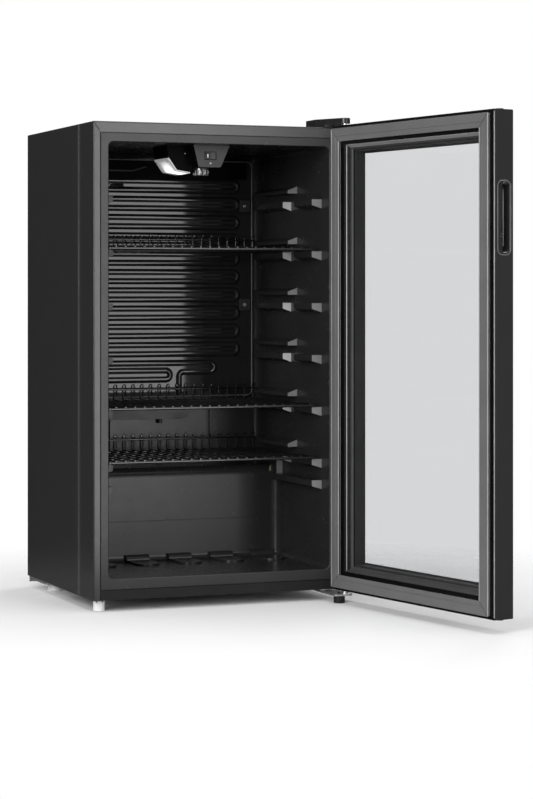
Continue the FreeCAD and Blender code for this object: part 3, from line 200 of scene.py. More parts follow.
class Finish:
    """A material and the nodes that make its surface, joined as they are added."""

    def __init__(self, name):
        self.material = bpy.data.materials.new(name)
        self.material.use_nodes = True
        self.tree = self.material.node_tree
        self.tree.nodes.clear()
        self.output = self.tree.nodes.new("ShaderNodeOutputMaterial")
        self.place = self.tree.nodes.new("ShaderNodeTexCoord").outputs["Object"]

    def add(self, kind, settings=None, **inputs):
        """A node with its settings and inputs; an input that is another node's output is joined to it."""
        node = self.tree.nodes.new("ShaderNode" + kind)
        for key, value in (settings or {}).items():
            setattr(node, key, value)
        for key, value in inputs.items():
            socket = node.inputs[int(key[1:])] if key[0] == "_" else node.inputs[key.replace("_", " ")]
            if isinstance(value, bpy.types.NodeSocket):
                self.tree.links.new(value, socket)
            else:
                socket.default_value = value
        return node

    def noise(self, size, detail=3.0, roughness=0.5, stretch=(1, 1, 1)):
        """Noise from 0 to 1 whose blotches are about a size in metres, drawn out along an axis."""
        place = self.place
        if stretch != (1, 1, 1):
            place = self.add("Mapping", Vector=self.place, Scale=stretch).outputs[0]
        node = self.add("TexNoise", Vector=place, Scale=1 / size, Detail=detail, Roughness=roughness)
        return node.outputs[0]

    def spread(self, value, low, high, start=0.3, end=0.7):
        """A value mapped from one range to another."""
        node = self.add("MapRange", Value=value, From_Min=start, From_Max=end, To_Min=low, To_Max=high)
        return node.outputs[0]

    def mix(self, factor, first, second):
        """One colour or the other by a factor."""
        return self.add("Mix", {"data_type": "RGBA"}, _0=factor, _6=first, _7=second).outputs[2]

    def bump(self, height, distance, strength=1.0, normal=None):
        """A bumped normal from a height."""
        inputs = {"Height": height, "Distance": distance, "Strength": strength}
        if normal is not None:
            inputs["Normal"] = normal
        return self.add("Bump", **inputs).outputs[0]

    def finish(self, shader):
        """Sends a shader to the output and returns the material."""
        self.tree.links.new(shader, self.output.inputs["Surface"])
        return self.material


def grey(level, warmth=0.0):
    """A near-neutral colour."""
    return (level * (1 + warmth), level, level * (1 - warmth), 1)


def coated(name, colour, roughness, mottle=0.12, mottle_size=0.06, grain_size=0.0012, grain=0.00002,
           metallic=0.0, specular=0.5, coat=0.0, coat_roughness=0.1, smudge=0.06, edge=0.0007):
    """Paint or moulded plastic: slight colour variation, uneven gloss and a fine surface grain."""
    f = Finish(name)
    broad = f.noise(mottle_size)
    darker = tuple(c * (1 - mottle) for c in colour[:3]) + (1,)
    lighter = tuple(min(1.0, c * (1 + mottle)) for c in colour[:3]) + (1,)
    base = f.mix(f.spread(broad, 0, 1), darker, lighter)
    gloss = f.spread(f.noise(mottle_size * 0.4, 5.0, 0.6), roughness - smudge, roughness + smudge)
    worn = f.add("Bevel", {"samples": 4}, Radius=edge).outputs[0]
    normal = f.bump(f.noise(grain_size, 2.0), grain, normal=worn)
    shader = f.add("BsdfPrincipled", Base_Color=base, Roughness=gloss, Metallic=metallic, Normal=normal,
                   Specular_IOR_Level=specular, Coat_Weight=coat, Coat_Roughness=coat_roughness)
    return f.finish(shader.outputs[0])


def make_shell_paint():
    """Satin black paint, with a lighter colour along each side's crease standing in for a highlight."""
    f = Finish("black_paint")
    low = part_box("outer_shell")[0]
    y = f.add("SeparateXYZ", _0=f.place).outputs["Y"]
    away = f.add("Math", {"operation": "SUBTRACT"}, _0=y, _1=low.y + CREASE_Y * MM).outputs[0]
    off = f.add("Math", {"operation": "ABSOLUTE"}, _0=away).outputs[0]
    # painted highlight: a lighter grey along each side's crease, standing in for the light the crease
    # catches
    ridge = f.spread(off, 1, 0, 0.001, 0.011)
    even = f.mix(f.spread(f.noise(0.05), 0, 1), grey(0.0185), grey(0.0205))
    base = f.mix(ridge, even, grey(0.055))
    gloss = f.spread(f.noise(0.02, 5.0, 0.6), 0.235, 0.265)
    worn = f.add("Bevel", {"samples": 4}, Radius=0.0007).outputs[0]
    normal = f.bump(f.noise(0.0009, 2.0), 0.000006, normal=worn)
    shader = f.add("BsdfPrincipled", Base_Color=base, Roughness=gloss, Normal=normal)
    return f.finish(shader.outputs[0])


def make_glass(name, tint, sheen):
    """Flat glass: light goes straight through it, with a sheen that grows towards grazing angles."""
    f = Finish(name)
    clear = f.add("BsdfTransparent", Color=tint)
    shine = f.add("BsdfGlossy", Color=(1, 1, 1, 1), Roughness=0.02)
    facing = f.add("LayerWeight", Blend=0.5).outputs["Facing"]
    steep = f.add("Math", {"operation": "POWER"}, _0=facing, _1=5.0).outputs[0]
    streaks = f.spread(f.noise(0.08, 4.0), sheen * 0.8, sheen)
    amount = f.add("Math", {"operation": "MULTIPLY_ADD"}, _0=steep, _1=streaks, _2=sheen * 0.05).outputs[0]
    return f.finish(f.add("MixShader", _0=amount, _1=clear.outputs[0], _2=shine.outputs[0]).outputs[0])


def make_lens():
    """Opal diffuser that glows along its bend and its underside and stays pale grey at its upper edge."""
    f = Finish("lens_white")
    low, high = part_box("lamp_lens")
    z = f.add("SeparateXYZ", _0=f.place).outputs["Z"]
    y = f.add("SeparateXYZ", _0=f.place).outputs["Y"]
    height = f.spread(z, 1, 0, low.z + 0.003, high.z - 0.004)
    middle = (low.y + high.y) / 2
    away = f.add("Math", {"operation": "SUBTRACT"}, _0=y, _1=middle - 0.004).outputs[0]
    off = f.add("Math", {"operation": "ABSOLUTE"}, _0=away).outputs[0]
    inside = f.spread(off, 1, 0, 0.010, 0.030)
    glow = f.add("Math", {"operation": "MULTIPLY"}, _0=height, _1=inside).outputs[0]
    uneven = f.spread(f.noise(0.02), 0.9 * LENS_GLOW, LENS_GLOW)
    power = f.add("Math", {"operation": "MULTIPLY_ADD"}, _0=glow, _1=uneven, _2=LENS_EDGE_GLOW).outputs[0]
    base = f.mix(f.noise(0.03), grey(0.28), grey(0.32))
    shader = f.add("BsdfPrincipled", Base_Color=base, Roughness=0.25, Emission_Color=grey(1.0),
                   Emission_Strength=power)
    return f.finish(shader.outputs[0])


def make_galvanised():
    """Zinc coating: crystal patches, each a little lighter or darker and turned in gloss."""
    f = Finish("galvanised")
    cells = f.add("TexVoronoi", Vector=f.place, Scale=220.0, Randomness=1.0)
    patch = f.add("SeparateColor", Color=cells.outputs["Color"]).outputs[0]
    base = f.mix(patch, grey(0.42), grey(0.66))
    gloss = f.spread(patch, 0.28, 0.46, 0.0, 1.0)
    normal = f.bump(f.noise(0.0015), 0.00002)
    shader = f.add("BsdfPrincipled", Base_Color=base, Metallic=0.9, Roughness=gloss, Normal=normal)
    return f.finish(shader.outputs[0])


def make_copper():
    """Drawn copper pipe with brown heat marks."""
    f = Finish("copper")
    marks = f.spread(f.noise(0.03, 4.0), 0, 1, 0.45, 0.7)
    base = f.mix(marks, (0.75, 0.36, 0.22, 1), (0.35, 0.16, 0.09, 1))
    gloss = f.spread(f.noise(0.004), 0.22, 0.4)
    shader = f.add("BsdfPrincipled", Base_Color=base, Metallic=1.0, Roughness=gloss)
    return f.finish(shader.outputs[0])


def make_foam():
    """Cut polyurethane foam: fine cells in pale yellow."""
    f = Finish("foam")
    cells = f.add("TexVoronoi", Vector=f.place, Scale=700.0).outputs["Distance"]
    base = f.mix(f.spread(cells, 0, 1, 0.0, 0.6), (0.6, 0.5, 0.28, 1), (0.8, 0.72, 0.46, 1))
    shader = f.add("BsdfPrincipled", Base_Color=base, Roughness=0.9, Normal=f.bump(cells, 0.0004))
    return f.finish(shader.outputs[0])


def make_materials():
    """Every finish by name: the record's slots, and the extra ones that single pieces use."""
    return {
        "black_paint": make_shell_paint(),
        "back_paint": coated("back_paint", grey(0.03), 0.5),
        "liner_plastic": coated("liner_plastic", grey(0.019), 0.26, mottle=0.05, smudge=0.02, grain=0.00001,
                                specular=0.28),
        "foam": make_foam(),
        "plate_paint": coated("plate_paint", grey(0.012), 0.035, mottle=0.05, smudge=0.006, grain=0.000001,
                              specular=0.33),
        "tube_paint": coated("tube_paint", grey(0.012), 0.035, mottle=0.05, smudge=0.006, grain=0.000001,
                             specular=0.33),
        "black_plastic": coated("black_plastic", grey(0.02), 0.42),
        "grey_plastic": coated("grey_plastic", grey(0.020), 0.4, mottle=0.05, smudge=0.02, specular=0.38),
        "lens_white": make_lens(),
        "board_white": coated("board_white", grey(0.7), 0.4, grain_size=0.0006),
        "clear_knob": coated("clear_knob", grey(0.05), 0.10, coat=0.8, coat_roughness=0.03),
        "white_plastic": coated("white_plastic", grey(0.72), 0.4),
        "dark_plastic": coated("dark_plastic", grey(0.012), 0.3),
        "pod_plastic": coated("pod_plastic", grey(0.002), 0.55, specular=0.05),
        "galvanised": make_galvanised(),
        "bright_steel": coated("bright_steel", grey(0.6), 0.22, metallic=1.0),
        "screw_steel": coated("screw_steel", grey(0.55), 0.28, metallic=1.0),
        "copper": make_copper(),
        "compressor_paint": coated("compressor_paint", grey(0.015), 0.22, coat=0.3, grain=0.00006),
        "rubber": coated("rubber", grey(0.025), 0.7, grain=0.00004),
        "gasket_grey": coated("gasket_grey", grey(0.125), 0.42, mottle=0.06, smudge=0.03),
        # painted highlight: lighter grey for the gasket's lips
        "gasket_lip_highlight": coated("gasket_lip_highlight", grey(0.28), 0.3, mottle=0.06),
        "glass_outer": make_glass("glass_outer", GLASS_TINT, GLASS_SHEEN),
        "glass_inner": make_glass("glass_inner", GLASS_TINT, GLASS_SHEEN),
        "wire_coat": coated("wire_coat", grey(0.005), 0.10, smudge=0.02, specular=0.6),
        "rail_paint": coated("rail_paint", grey(0.013), 0.55, specular=0.15),
        "door_plastic": coated("door_plastic", grey(0.014), 0.36, mottle=0.05, smudge=0.02, specular=0.45),
        "rim_plastic": coated("rim_plastic", grey(0.004), 0.3, specular=0.12),
        "cup_plastic": coated("cup_plastic", grey(0.013), 0.3),
        "indicator_lens": coated("indicator_lens", grey(0.35), 0.3, edge=0.0003),
        "spacer": coated("spacer", grey(0.04), 0.8, specular=0.1),
        # painted highlight: lighter grey for the door's edge bead and the handle's bar
        "bead_painted_highlight": coated("bead_painted_highlight", grey(0.23), 0.22),
        # painted highlight: lighter grey for the lip beside the hinge
        "lip_painted_highlight": coated("lip_painted_highlight", grey(0.4), 0.2),
        # painted highlight: lighter grey for the cold plate's rim
        "rim_painted_highlight": coated("rim_painted_highlight", grey(0.12), 0.2),
        "seal_grey": coated("seal_grey", grey(0.045), 0.5, specular=0.25),
        # painted highlight: lighter grey for the top trim round the window
        "trim_painted_highlight": coated("trim_painted_highlight", grey(0.33), 0.35),
        # painted shade: near-black for the gasket's bellows and for the strip over the cold plate
        "bellows": coated("bellows", grey(0.002), 0.6, specular=0.05),
        # painted highlight and painted light: lighter greys for the ledges' front ends
        "ledge_painted_highlight": coated("ledge_painted_highlight", grey(0.55), 0.35),
        "ledge_painted_light": coated("ledge_painted_light", grey(0.22), 0.35),
        "print_black": coated("print_black", grey(0.01), 0.4),
        "pane_print": coated("pane_print", grey(0.032), 0.4),
        "mark_white": coated("mark_white", grey(0.8), 0.4, grain_size=0.0004, edge=0.0001),
    }


# Nodes whose finish differs a little from the rest of their slot.
OWN_FINISH = {
    "front_rail": "rail_paint",
    "control_box": "pod_plastic",
    "switch_body": "dark_plastic",
    "door_frame": "door_plastic",
    "door_inner_frame": "rim_plastic",
    "pane_spacer": "spacer",
    "handle_cup": "cup_plastic",
    "indicator": "indicator_lens",
    "upper_hinge_pad": "print_black",
}


def paint_nodes():
    """Gives every CAD node the finish of its slot, or its own."""
    for part in frame["record"]["subparts"]:
        name = part["node"]
        mesh = nodes[name].data
        mesh.materials.clear()
        mesh.materials.append(finishes[OWN_FINISH.get(name, part["material_slot"])])


# ---------------------------------------------------------------- mesh making

def rounded_path(corners, radius, closed=True, steps=6):
    """An outline's points with its corners rounded, each with its direction to the left of travel."""
    corners = [Vector(corner) for corner in corners]
    path = []
    for index, corner in enumerate(corners):
        has_before = closed or index > 0
        has_after = closed or index < len(corners) - 1
        ahead = corners[(index + 1) % len(corners)] - corner
        back = corner - corners[index - 1]
        into = (back if has_before else ahead).normalized()
        out = (ahead if has_after else back).normalized()
        left = Vector((-into.y, into.x))
        next_left = Vector((-out.y, out.x))
        turn = math.atan2(into.cross(out), into.dot(out))
        if radius == 0 or abs(turn) < 0.001:
            path.append((corner, (left + next_left) / (1 + left.dot(next_left))))
            continue
        sign = math.copysign(1, turn)
        centre = corner - into * radius * math.tan(abs(turn) / 2) + left * sign * radius
        for step in range(steps + 1):
            side = Matrix.Rotation(turn * step / steps, 2) @ left
            path.append((centre - side * sign * radius, side))
    return path


def sweep(path, profile, level, closed=True):
    """A closed profile of (left, back) points carried along a path in an upright plane."""
    points = [(p.x + side.x * u, level + v, p.y + side.y * u) for p, side in path for u, v in profile]
    size = len(profile)
    rings = len(path)
    faces = []
    for ring in range(rings if closed else rings - 1):
        here, there = ring * size, (ring + 1) % rings * size
        for k in range(size):
            following = (k + 1) % size
            faces.append((here + k, here + following, there + following, there + k))
    if not closed:
        faces.append(tuple(range(size)))
        faces.append(tuple(range((rings - 1) * size, rings * size)))
    return points, faces


def prism(outline, push):
    """A flat outline in space pushed along a direction."""
    near = [Vector(point) for point in outline]
    far = [point + Vector(push) for point in near]
    size = len(near)
    faces = [tuple(range(size)), tuple(range(size, 2 * size))]
    faces += [(k, (k + 1) % size, (k + 1) % size + size, k + size) for k in range(size)]
    return near + far, faces


def turned(profile, centre, axis, segments=32):
    """A solid of revolution from (radius, height) points, capped at both ends."""
    turn = Vector(axis).to_track_quat("Z", "Y").to_matrix()
    points = []
    for radius, height in profile:
        for index in range(segments):
            angle = 2 * math.pi * index / segments
            spot = Vector((radius * math.cos(angle), radius * math.sin(angle), height))
            points.append(Vector(centre) + turn @ spot)
    faces = [tuple(range(segments)), tuple(range(len(points) - segments, len(points)))]
    for ring in range(len(profile) - 1):
        here, there = ring * segments, (ring + 1) * segments
        faces += [(here + k, here + (k + 1) % segments, there + (k + 1) % segments, there + k)
                  for k in range(segments)]
    return points, faces


def add_piece(name, solids, place, body, finish, stands_for=(), sharp=35):
    """A mesh piece made of (points, faces) solids in cabinet or closed-door millimetres."""
    shape = bmesh.new()
    for points, faces in solids:
        corners = [shape.verts.new(place @ Vector(point)) for point in points]
        for face in faces:
            shape.faces.new([corners[index] for index in face])
    bmesh.ops.recalc_face_normals(shape, faces=shape.faces)
    mesh = bpy.data.meshes.new(name)
    shape.to_mesh(mesh)
    shape.free()
    mesh.shade_smooth()
    mesh.set_sharp_from_angle(angle=math.radians(sharp))
    mesh.materials.append(finishes[finish])
    piece = bpy.data.objects.new(name, mesh)
    bpy.context.scene.collection.objects.link(piece)
    if stands_for:
        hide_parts(*stands_for)
    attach(piece, body)
    return piece


# ---------------------------------------------------------------- door pieces

def door_path():
    """The door's outline; left of travel is inwards."""
    return rounded_path([(-HALF_WIDTH, DOOR_BOTTOM), (HALF_WIDTH, DOOR_BOTTOM), (HALF_WIDTH, DOOR_TOP),
                         (-HALF_WIDTH, DOOR_TOP)], 0)


def door_ring(profile):
    """A mitred ring round the door from (inset, height above the inner face) points."""
    return sweep(door_path(), profile, -DOOR_GAP)


def upright_bead(x, y, low, high, radius):
    """A round upright bead with tapered ends."""
    profile = [(0.3, 0), (radius, 1), (radius, high - low - 1), (0.3, high - low)]
    return turned(profile, (x, y, low), (0, 0, 1), 16)


def make_gasket():
    """Magnetic gasket: bellows painted near-black as painted shade in their folds, a grey head with lips up
    its two sides painted lighter as painted highlights, and welded mitres.
    """
    first = GASKET_INSET
    last = GASKET_INSET + GASKET_WIDTH
    head = [(first + 0.6, 7.6), (first + 0.4, 8.6), (first + 2.0, 8.8), (first + 14.6, 8.8),
            (first + 15.0, 8.3), (first + 15.8, 8.3), (first + 16.2, 8.8), (last - 2.0, 8.8),
            (last - 0.4, 8.6), (last - 0.6, 7.6)]
    add_piece("gasket_head", [door_ring(head)], DOOR, "door", "gasket_grey", ["door_gasket"])
    lips = [upright_bead(side * (HALF_WIDTH - inset), -DOOR_GAP + 8.3, DOOR_BOTTOM + inset,
                         DOOR_TOP - inset, 1.1)
            for side in (-1, 1) for inset in (first + 1.1, last - 1.1)]
    # the lips are real beads; their lighter grey is a painted highlight
    add_piece("gasket_lips", lips, DOOR, "door", "gasket_lip_highlight")
    fold = [(first + 4.5, -0.4), (first + 4.5, 1.2), (first + 2.8, 2.4), (first + 4.5, 3.6),
            (first + 4.5, 4.6), (first + 2.6, 6.0), (first + 3.2, 7.5)]
    bellows = fold + [(first + last - inset, height) for inset, height in reversed(fold)]
    # the bellows fold is real; its near-black colour is painted shade
    add_piece("gasket_bellows", [door_ring(bellows)], DOOR, "door", "bellows")
    bead = [(first + 1.9, 3.3), (first + 1.5, 3.8), (first + 1.9, 4.3), (first + 4.6, 4.3),
            (first + 4.6, 3.3)]
    far_bead = [(first + last - inset, height) for inset, height in bead]
    add_piece("gasket_beads", [door_ring(bead), door_ring(far_bead)], DOOR, "door",
              "gasket_grey")
    welds = []
    for x, across in ((-HALF_WIDTH, 1), (HALF_WIDTH, -1)):
        for z, up in ((DOOR_BOTTOM, 1), (DOOR_TOP, -1)):
            ends = [(x + across * inset, z + up * inset) for inset in (first + 0.8, last - 0.8)]
            ridge = [(-0.4, 8.6), (-0.3, 9.0), (0.3, 9.0), (0.4, 8.6)]
            welds.append(sweep(rounded_path(ends, 0, False), ridge, -DOOR_GAP, False))
    add_piece("gasket_welds", welds, DOOR, "door", "print_black")


def make_window_edge():
    """Rounded lip, edge bead, inner pane's seal with trims above and below, and outer pane's print. The
    lip, the bead and the trims are lighter grey than the door round them as painted highlights, and the top
    trim is lighter than the bottom one.
    """
    lip = upright_bead(HALF_WIDTH - RIM_LIP - 1.4, -DOOR_GAP - 4.2, DOOR_BOTTOM + RIM_LIP + 1,
                       DOOR_TOP - RIM_LIP - 1, 0.8)
    # painted highlight: lighter grey on the lip beside the hinge
    add_piece("hinge_side_lip", [lip], DOOR, "door", "lip_painted_highlight")
    bead = upright_bead(-HALF_WIDTH + 1.3, -DOOR_GAP - 0.9, DOOR_BOTTOM + 3, DOOR_TOP - 3, 1.05)
    # painted highlight: lighter grey on the bead up the free edge
    add_piece("free_edge_bead", [bead], DOOR, "door", "bead_painted_highlight")
    low = -PANE_DEPTH
    seal = [(WINDOW_INSET - 0.6, low + 3.4), (WINDOW_INSET + 0.8, low + 3.0),
            (WINDOW_INSET + 2.4, low + 2.0), (WINDOW_INSET + 3.6, low + 0.8),
            (WINDOW_INSET + 4.2, low), (WINDOW_INSET - 0.6, low)]
    add_piece("pane_seal", [door_ring(seal)], DOOR, "door", "seal_grey")
    print_low = -OUTER_PANE_DEPTH
    border = [(PRINT_OUTER, print_low + 0.2), (PRINT_INNER, print_low + 0.2), (PRINT_INNER, print_low),
              (PRINT_OUTER, print_low)]
    add_piece("pane_print", [door_ring(border)], DOOR, "door", "pane_print")
    side = HALF_WIDTH - WINDOW_INSET
    # the two trims are the same part; the top one is painted lighter than the bottom one as a painted
    # highlight
    for end, z, up, finish in (("bottom", DOOR_BOTTOM, 1, "seal_grey"), ("top", DOOR_TOP, -1, "trim_painted_highlight")):
        outline = [(-side, -DOOR_GAP - 0.8, z + up * (RIM_LIP + 0.9)),
                   (-side, -DOOR_GAP - PANE_DEPTH + 3.0, z + up * (WINDOW_INSET + 0.4)),
                   (-side, -DOOR_GAP - PANE_DEPTH + 3.0, z + up * (WINDOW_INSET - 0.6)),
                   (-side, -DOOR_GAP - 0.8, z + up * (RIM_LIP - 0.2))]
        add_piece("window_trim_" + end, [prism(outline, (2 * side, 0, 0))], DOOR, "door",
                  finish)


def make_handle_grip():
    """Raised finger bar down the inside of the handle slot, and the rolled rim round its cup, both painted
    lighter grey than the cup as painted highlights.
    """
    bar = upright_bead(-HALF_WIDTH + BAR_INSET, -DOOR_GAP - BAR_DEPTH, BAR_LOW, BAR_HIGH, 0.9)
    # painted highlight: the bar's lighter grey
    add_piece("handle_bar", [bar], DOOR, "door", "bead_painted_highlight")
    half = CUP_WIDTH / 2 - CUP_RIM_INSET
    left = -DOOR_GAP - CUP_CENTRE - half
    right = -DOOR_GAP - CUP_CENTRE + half
    low = CUP_LOW + CUP_RIM_INSET
    high = CUP_HIGH - CUP_RIM_INSET
    path = rounded_path([(left, low), (right, low), (right, high), (left, high)], CUP_CORNER)
    rim = sweep(path, [(-0.7, -0.2), (-0.7, 0.1), (-0.4, 0.45), (0.4, 0.45), (0.7, 0.1), (0.7, -0.2)], 0)
    edge_face = DOOR @ Matrix.Translation((-HALF_WIDTH, 0, 0)) @ Matrix.Rotation(math.pi / 2, 4, "Z")
    # painted highlight: the rim takes the gasket's lighter grey
    add_piece("handle_rim", [rim], edge_face, "door", "gasket_grey")


# ---------------------------------------------------------------- cabinet pieces

def make_groove_seal():
    """Black seal in the gap between the outer shell's flange and the liner's flange."""
    path = rounded_path([(-GROOVE_X, GROOVE_LOW), (GROOVE_X, GROOVE_LOW), (GROOVE_X, GROOVE_HIGH),
                         (-GROOVE_X, GROOVE_HIGH)], 0)
    strip = sweep(path, [(-1.5, 3.0), (-0.6, 2.5), (0.6, 2.5), (1.5, 3.0), (1.5, 5.0), (-1.5, 5.0)], 0)
    add_piece("flange_seal", [strip], CABINET, "cabinet", "print_black")


def ledge_end(side, y, z, root, tip, reach):
    """A thin plate on a ledge's front end; a negative root and tip slope downwards."""
    wall = side * (CAVITY_HALF + 0.5)
    edge = side * (CAVITY_HALF - reach)
    outline = [(wall, y, z), (edge, y, z), (edge, y, z + tip), (wall, y, z + root)]
    return prism(outline, (0, -0.25, 0))


def make_ledge_ends():
    """Thin plates on the ledges' front ends, lighter on the right wall and black on the left.

    They stand in for how the light falls there in the photograph, and aren't pieces of the real cooler.
    """
    upper = (UPPER_LEDGE_ROOT, UPPER_LEDGE_TIP, UPPER_LEDGE_REACH)
    front = (LEDGE_ROOT, LEDGE_TIP, FRONT_LEDGE_REACH)
    rear = (LEDGE_ROOT, LEDGE_TIP, REAR_LEDGE_REACH)
    bright, plain, dark = [], [], []
    for level in range(LEVEL_COUNT):
        top = LEVEL_TOP - LEVEL_PITCH * level
        # right-wall ends are painted light, left-wall ends are black as painted shade
        for side, ends in ((1, plain), (-1, dark)):
            ends.append(ledge_end(side, UPPER_LEDGE_Y, top + UPPER_LEDGE_LIFT, *upper))
            ends.append(ledge_end(side, FRONT_LEDGE_Y, top, *front))
        hidden = level == LEVEL_COUNT - 1
        (plain if hidden else bright).append(ledge_end(1, REAR_LEDGE_Y, top, *rear))
    plain.append(ledge_end(1, FRONT_LEDGE_Y, LOW_LEDGE_TOP, *front))
    plain.append(ledge_end(1, STEP_Y - STEP_BLOCK_DEPTH, LOW_LEDGE_TOP + STEP_BLOCK_TOP,
                           -STEP_BLOCK_HEIGHT, -STEP_BLOCK_HEIGHT, STEP_BLOCK_REACH))
    add_piece("rear_ledge_ends", bright, CABINET, "cabinet", "ledge_painted_highlight")
    add_piece("ledge_ends", plain, CABINET, "cabinet", "ledge_painted_light")
    add_piece("left_ledge_ends", dark, CABINET, "cabinet", "print_black")


def make_evaporator_channel():
    """Coolant channel pressed out of the plate: flat top, sloping flanks."""
    half = RUN_PITCH / 2
    z = FIRST_TURN_Z + half
    left, right = -TURN_X, TURN_X + half
    corners = [(left - 12, z)]
    for turn in range(FULL_TURNS):
        corners += [(right, z), (right, z - RUN_PITCH)]
        z -= RUN_PITCH
        corners += [(left - half, z), (left - half, z - RUN_PITCH)]
        z -= RUN_PITCH
    corners += [(LAST_TURN_X, z), (LAST_TURN_X, z - RUN_PITCH)]
    z -= RUN_PITCH
    corners += [(DROP_X, z), (DROP_X, PLATE_BOTTOM + 6)]
    loop_z = z + LOOP_RISE
    loop = [(left, loop_z), (LOOP_X, loop_z), (LOOP_X, loop_z - RUN_PITCH), (left, loop_z - RUN_PITCH)]
    profile = [(-6.1, 0.3), (-6.1, 0), (-5.4, -0.5), (-3.4, -3.2), (-2.5, -3.8), (2.5, -3.8), (3.4, -3.2),
               (5.4, -0.5), (6.1, 0), (6.1, 0.3)]
    runs = [sweep(rounded_path(line, half - 0.01, False), profile, PLATE_FRONT, False)
            for line in (corners, loop)]
    add_piece("evaporator_channel", runs, CABINET, "cabinet", "tube_paint",
              ["evaporator_tube"])


def make_plate_rim():
    """Rolled rim round the cold plate, painted lighter grey than the plate as a painted highlight."""
    path = rounded_path([(-PLATE_HALF, PLATE_BOTTOM), (PLATE_HALF, PLATE_BOTTOM), (PLATE_HALF, PLATE_TOP),
                         (-PLATE_HALF, PLATE_TOP)], 11)
    rim = [(1.2 + 1.2 * math.cos(math.pi * k / 4), -1.2 * math.sin(math.pi * k / 4)) for k in range(8)]
    add_piece("plate_rim", [sweep(path, rim, PLATE_FRONT)], CABINET, "cabinet", "rim_painted_highlight")


def make_plate_cover():
    """Matt black strip over the cold plate's top, standing in for the dark that it reflects there."""
    high = PLATE_TOP - 1.5
    low = high - COVER_HEIGHT
    outline = [(-PLATE_HALF + 3, PLATE_FRONT, low), (PLATE_HALF - 12, PLATE_FRONT, low),
               (PLATE_HALF - 12, PLATE_FRONT, high), (-PLATE_HALF + 3, PLATE_FRONT, high)]
    add_piece("plate_cover", [prism(outline, (0, -0.6, 0))], CABINET, "cabinet", "bellows")


def make_rocker_mark():
    """White bar on the lit half of the rocker."""
    low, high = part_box("light_rocker")
    place = CABINET.inverted()
    near = place @ low
    far = place @ high
    x = near.x + (far.x - near.x) * 0.24
    outline = [(x - 0.8, near.y - 0.1, near.z + 3.4), (x + 0.8, near.y - 0.1, near.z + 3.4),
               (x + 0.8, near.y - 0.1, far.z - 3.4), (x - 0.8, near.y - 0.1, far.z - 3.4)]
    add_piece("rocker_mark", [prism(outline, (0, 1.4, 0))], CABINET, "rocker", "mark_white")


def make_knob_marks():
    """Numbers round the thermostat knob."""
    for number in range(1, 8):
        angle = math.radians(-150 + 36 * number)
        heading = Vector((math.cos(angle), math.sin(angle), 0))
        text = bpy.data.curves.new("knob_mark_%d" % number, "FONT")
        text.body = str(number)
        text.size = 0.0088
        text.extrude = 0.00012
        text.align_x = "CENTER"
        text.align_y = "CENTER"
        text.materials.append(finishes["mark_white"])
        mark = bpy.data.objects.new("knob_mark_%d" % number, text)
        spot = Vector((KNOB_X, KNOB_Y, KNOB_MIDDLE)) + heading * (KNOB_RADIUS + 0.05)
        right = Vector((-heading.y, heading.x, 0))
        turn = Matrix((right, Vector((0, 0, 1)), heading)).transposed().to_4x4()
        mark.matrix_world = Matrix.Translation(CABINET @ spot) @ turn
        bpy.context.scene.collection.objects.link(mark)
        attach(mark, "knob")


def make_pod_screws():
    """Small screws at the lens's upper corners and on the pod's wall."""
    along = Vector((HOUSING_SLOPE[0], 0, HOUSING_SLOPE[1])).normalized()
    outward = Vector((along.z, 0, -along.x))
    heads = []
    for y in LENS_SCREW_YS:
        spot = Vector((LENS_SCREW_PLACE[0], y, LENS_SCREW_PLACE[1])) + along * 4 + outward
        heads.append(turned([(1.7, 0), (1.7, 0.5), (1.1, 1.0), (0.5, 1.0), (0.4, 0.6)], spot, outward, 16))
    heads.append(turned([(1.8, 0), (1.8, 0.5), (1.2, 1.1)], SIDE_SCREW_PLACE, (0, -1, 0), 16))
    add_piece("pod_screws", heads, CABINET, "cabinet", "screw_steel")


# ---------------------------------------------------------------- stage

def aim(thing, target):
    """Turns a light or camera towards a point."""
    heading = Vector(target) - thing.location
    thing.rotation_euler = heading.to_track_quat("-Z", "Y").to_euler()


def add_softbox(name, place, target, size, power):
    """A rectangular studio light."""
    light = bpy.data.lights.new(name, "AREA")
    light.shape = "RECTANGLE"
    light.size, light.size_y = size
    light.energy = power
    thing = bpy.data.objects.new(name, light)
    thing.location = place
    aim(thing, target)
    thing.visible_camera = False
    bpy.context.scene.collection.objects.link(thing)


def make_lights():
    """Soft lights round the object."""
    middle = (0, 0, 0.45)
    add_softbox("key_right", (0.885, -3.14, 0.55), middle, (0.75, 2.6), 36)
    add_softbox("key_left", (-2.3, -1.9, 1.3), middle, (1.4, 2.0), 90)
    add_softbox("top", (0, -0.2, 3.2), middle, (2.6, 2.6), 60)
    add_softbox("rim_right", (2.2, 2.4, 1.0), middle, (1.2, 2.2), 60)


def hide_door_from_reflections():
    """Leaves the door out of every glossy reflection, so that the cold plate shows the softbox evenly.

    A real open door would show in the plate.
    """
    for thing in frame["bodies"]["door"].children_recursive:
        thing.visible_glossy = False


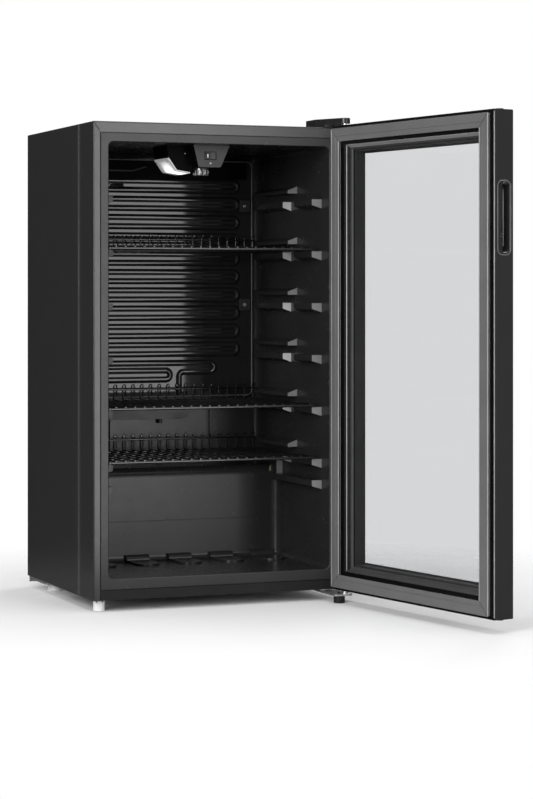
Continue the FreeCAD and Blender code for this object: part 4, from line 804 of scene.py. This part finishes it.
def make_world():
    """White for what the camera sees, dimmer for what lights the object."""
    world = bpy.data.worlds.new("studio")
    bpy.context.scene.world = world
    world.use_nodes = True
    tree = world.node_tree
    tree.nodes.clear()
    output = tree.nodes.new("ShaderNodeOutputWorld")
    seen = tree.nodes.new("ShaderNodeBackground")
    seen.inputs[0].default_value = (1, 1, 1, 1)
    seen.inputs[1].default_value = 1.0
    fill = tree.nodes.new("ShaderNodeBackground")
    fill.inputs[0].default_value = (1, 1, 1, 1)
    heading = tree.nodes.new("ShaderNodeSeparateXYZ")
    tree.links.new(tree.nodes.new("ShaderNodeTexCoord").outputs["Generated"], heading.inputs[0])
    level = tree.nodes.new("ShaderNodeMapRange")
    for socket, value in (("From Min", -1), ("From Max", 1), ("To Min", FILL_FRONT), ("To Max", FILL_BACK)):
        level.inputs[socket].default_value = value
    tree.links.new(heading.outputs["Y"], level.inputs["Value"])
    tree.links.new(level.outputs[0], fill.inputs[1])
    path = tree.nodes.new("ShaderNodeLightPath")
    mix = tree.nodes.new("ShaderNodeMixShader")
    tree.links.new(path.outputs["Is Camera Ray"], mix.inputs[0])
    tree.links.new(fill.outputs[0], mix.inputs[1])
    tree.links.new(seen.outputs[0], mix.inputs[2])
    tree.links.new(mix.outputs[0], output.inputs[0])


def make_floor_finish():
    """Pale matt floor that fades out into the white surroundings and is dimmer in reflections."""
    f = Finish("floor")
    base = f.mix(f.noise(0.4), grey(0.84), grey(0.88))
    matt = f.add("BsdfDiffuse", Color=base)
    dim = f.add("BsdfDiffuse", Color=grey(0.2))
    path = f.add("LightPath")
    lit = f.add("MixShader", _0=path.outputs["Is Glossy Ray"], _1=matt.outputs[0], _2=dim.outputs[0])
    reach = f.add("VectorMath", {"operation": "LENGTH"}, _0=f.place).outputs["Value"]
    fade = f.spread(reach, 0, 1, 0.35, 1.1)
    clear = f.add("BsdfTransparent")
    return f.finish(f.add("MixShader", _0=fade, _1=lit.outputs[0], _2=clear.outputs[0]).outputs[0])


def make_floor():
    """A large round pale floor."""
    mesh = bpy.data.meshes.new("floor")
    shape = bmesh.new()
    bmesh.ops.create_circle(shape, cap_ends=True, radius=FLOOR_REACH, segments=96)
    shape.to_mesh(mesh)
    shape.free()
    floor = bpy.data.objects.new("floor", mesh)
    bpy.context.scene.collection.objects.link(floor)
    mesh.materials.append(make_floor_finish())


def make_camera():
    """The camera at the photograph's viewpoint."""
    data = bpy.data.cameras.new("camera")
    data.lens = LENS
    data.shift_y = SHIFT_Y
    camera = bpy.data.objects.new("camera", data)
    camera.location = CABINET @ Vector(CAMERA_PLACE)
    camera.rotation_euler = (math.pi / 2, 0, -CAMERA_YAW)
    bpy.context.scene.collection.objects.link(camera)
    bpy.context.scene.camera = camera


make_camera()
finishes = make_materials()
paint_nodes()
make_gasket()
make_window_edge()
make_handle_grip()
make_groove_seal()
make_ledge_ends()
make_evaporator_channel()
make_plate_rim()
make_plate_cover()
make_rocker_mark()
make_knob_marks()
make_pod_screws()
hide_door_from_reflections()
make_world()
make_lights()
make_floor()
bpy.context.scene.view_settings.view_transform = "Standard"
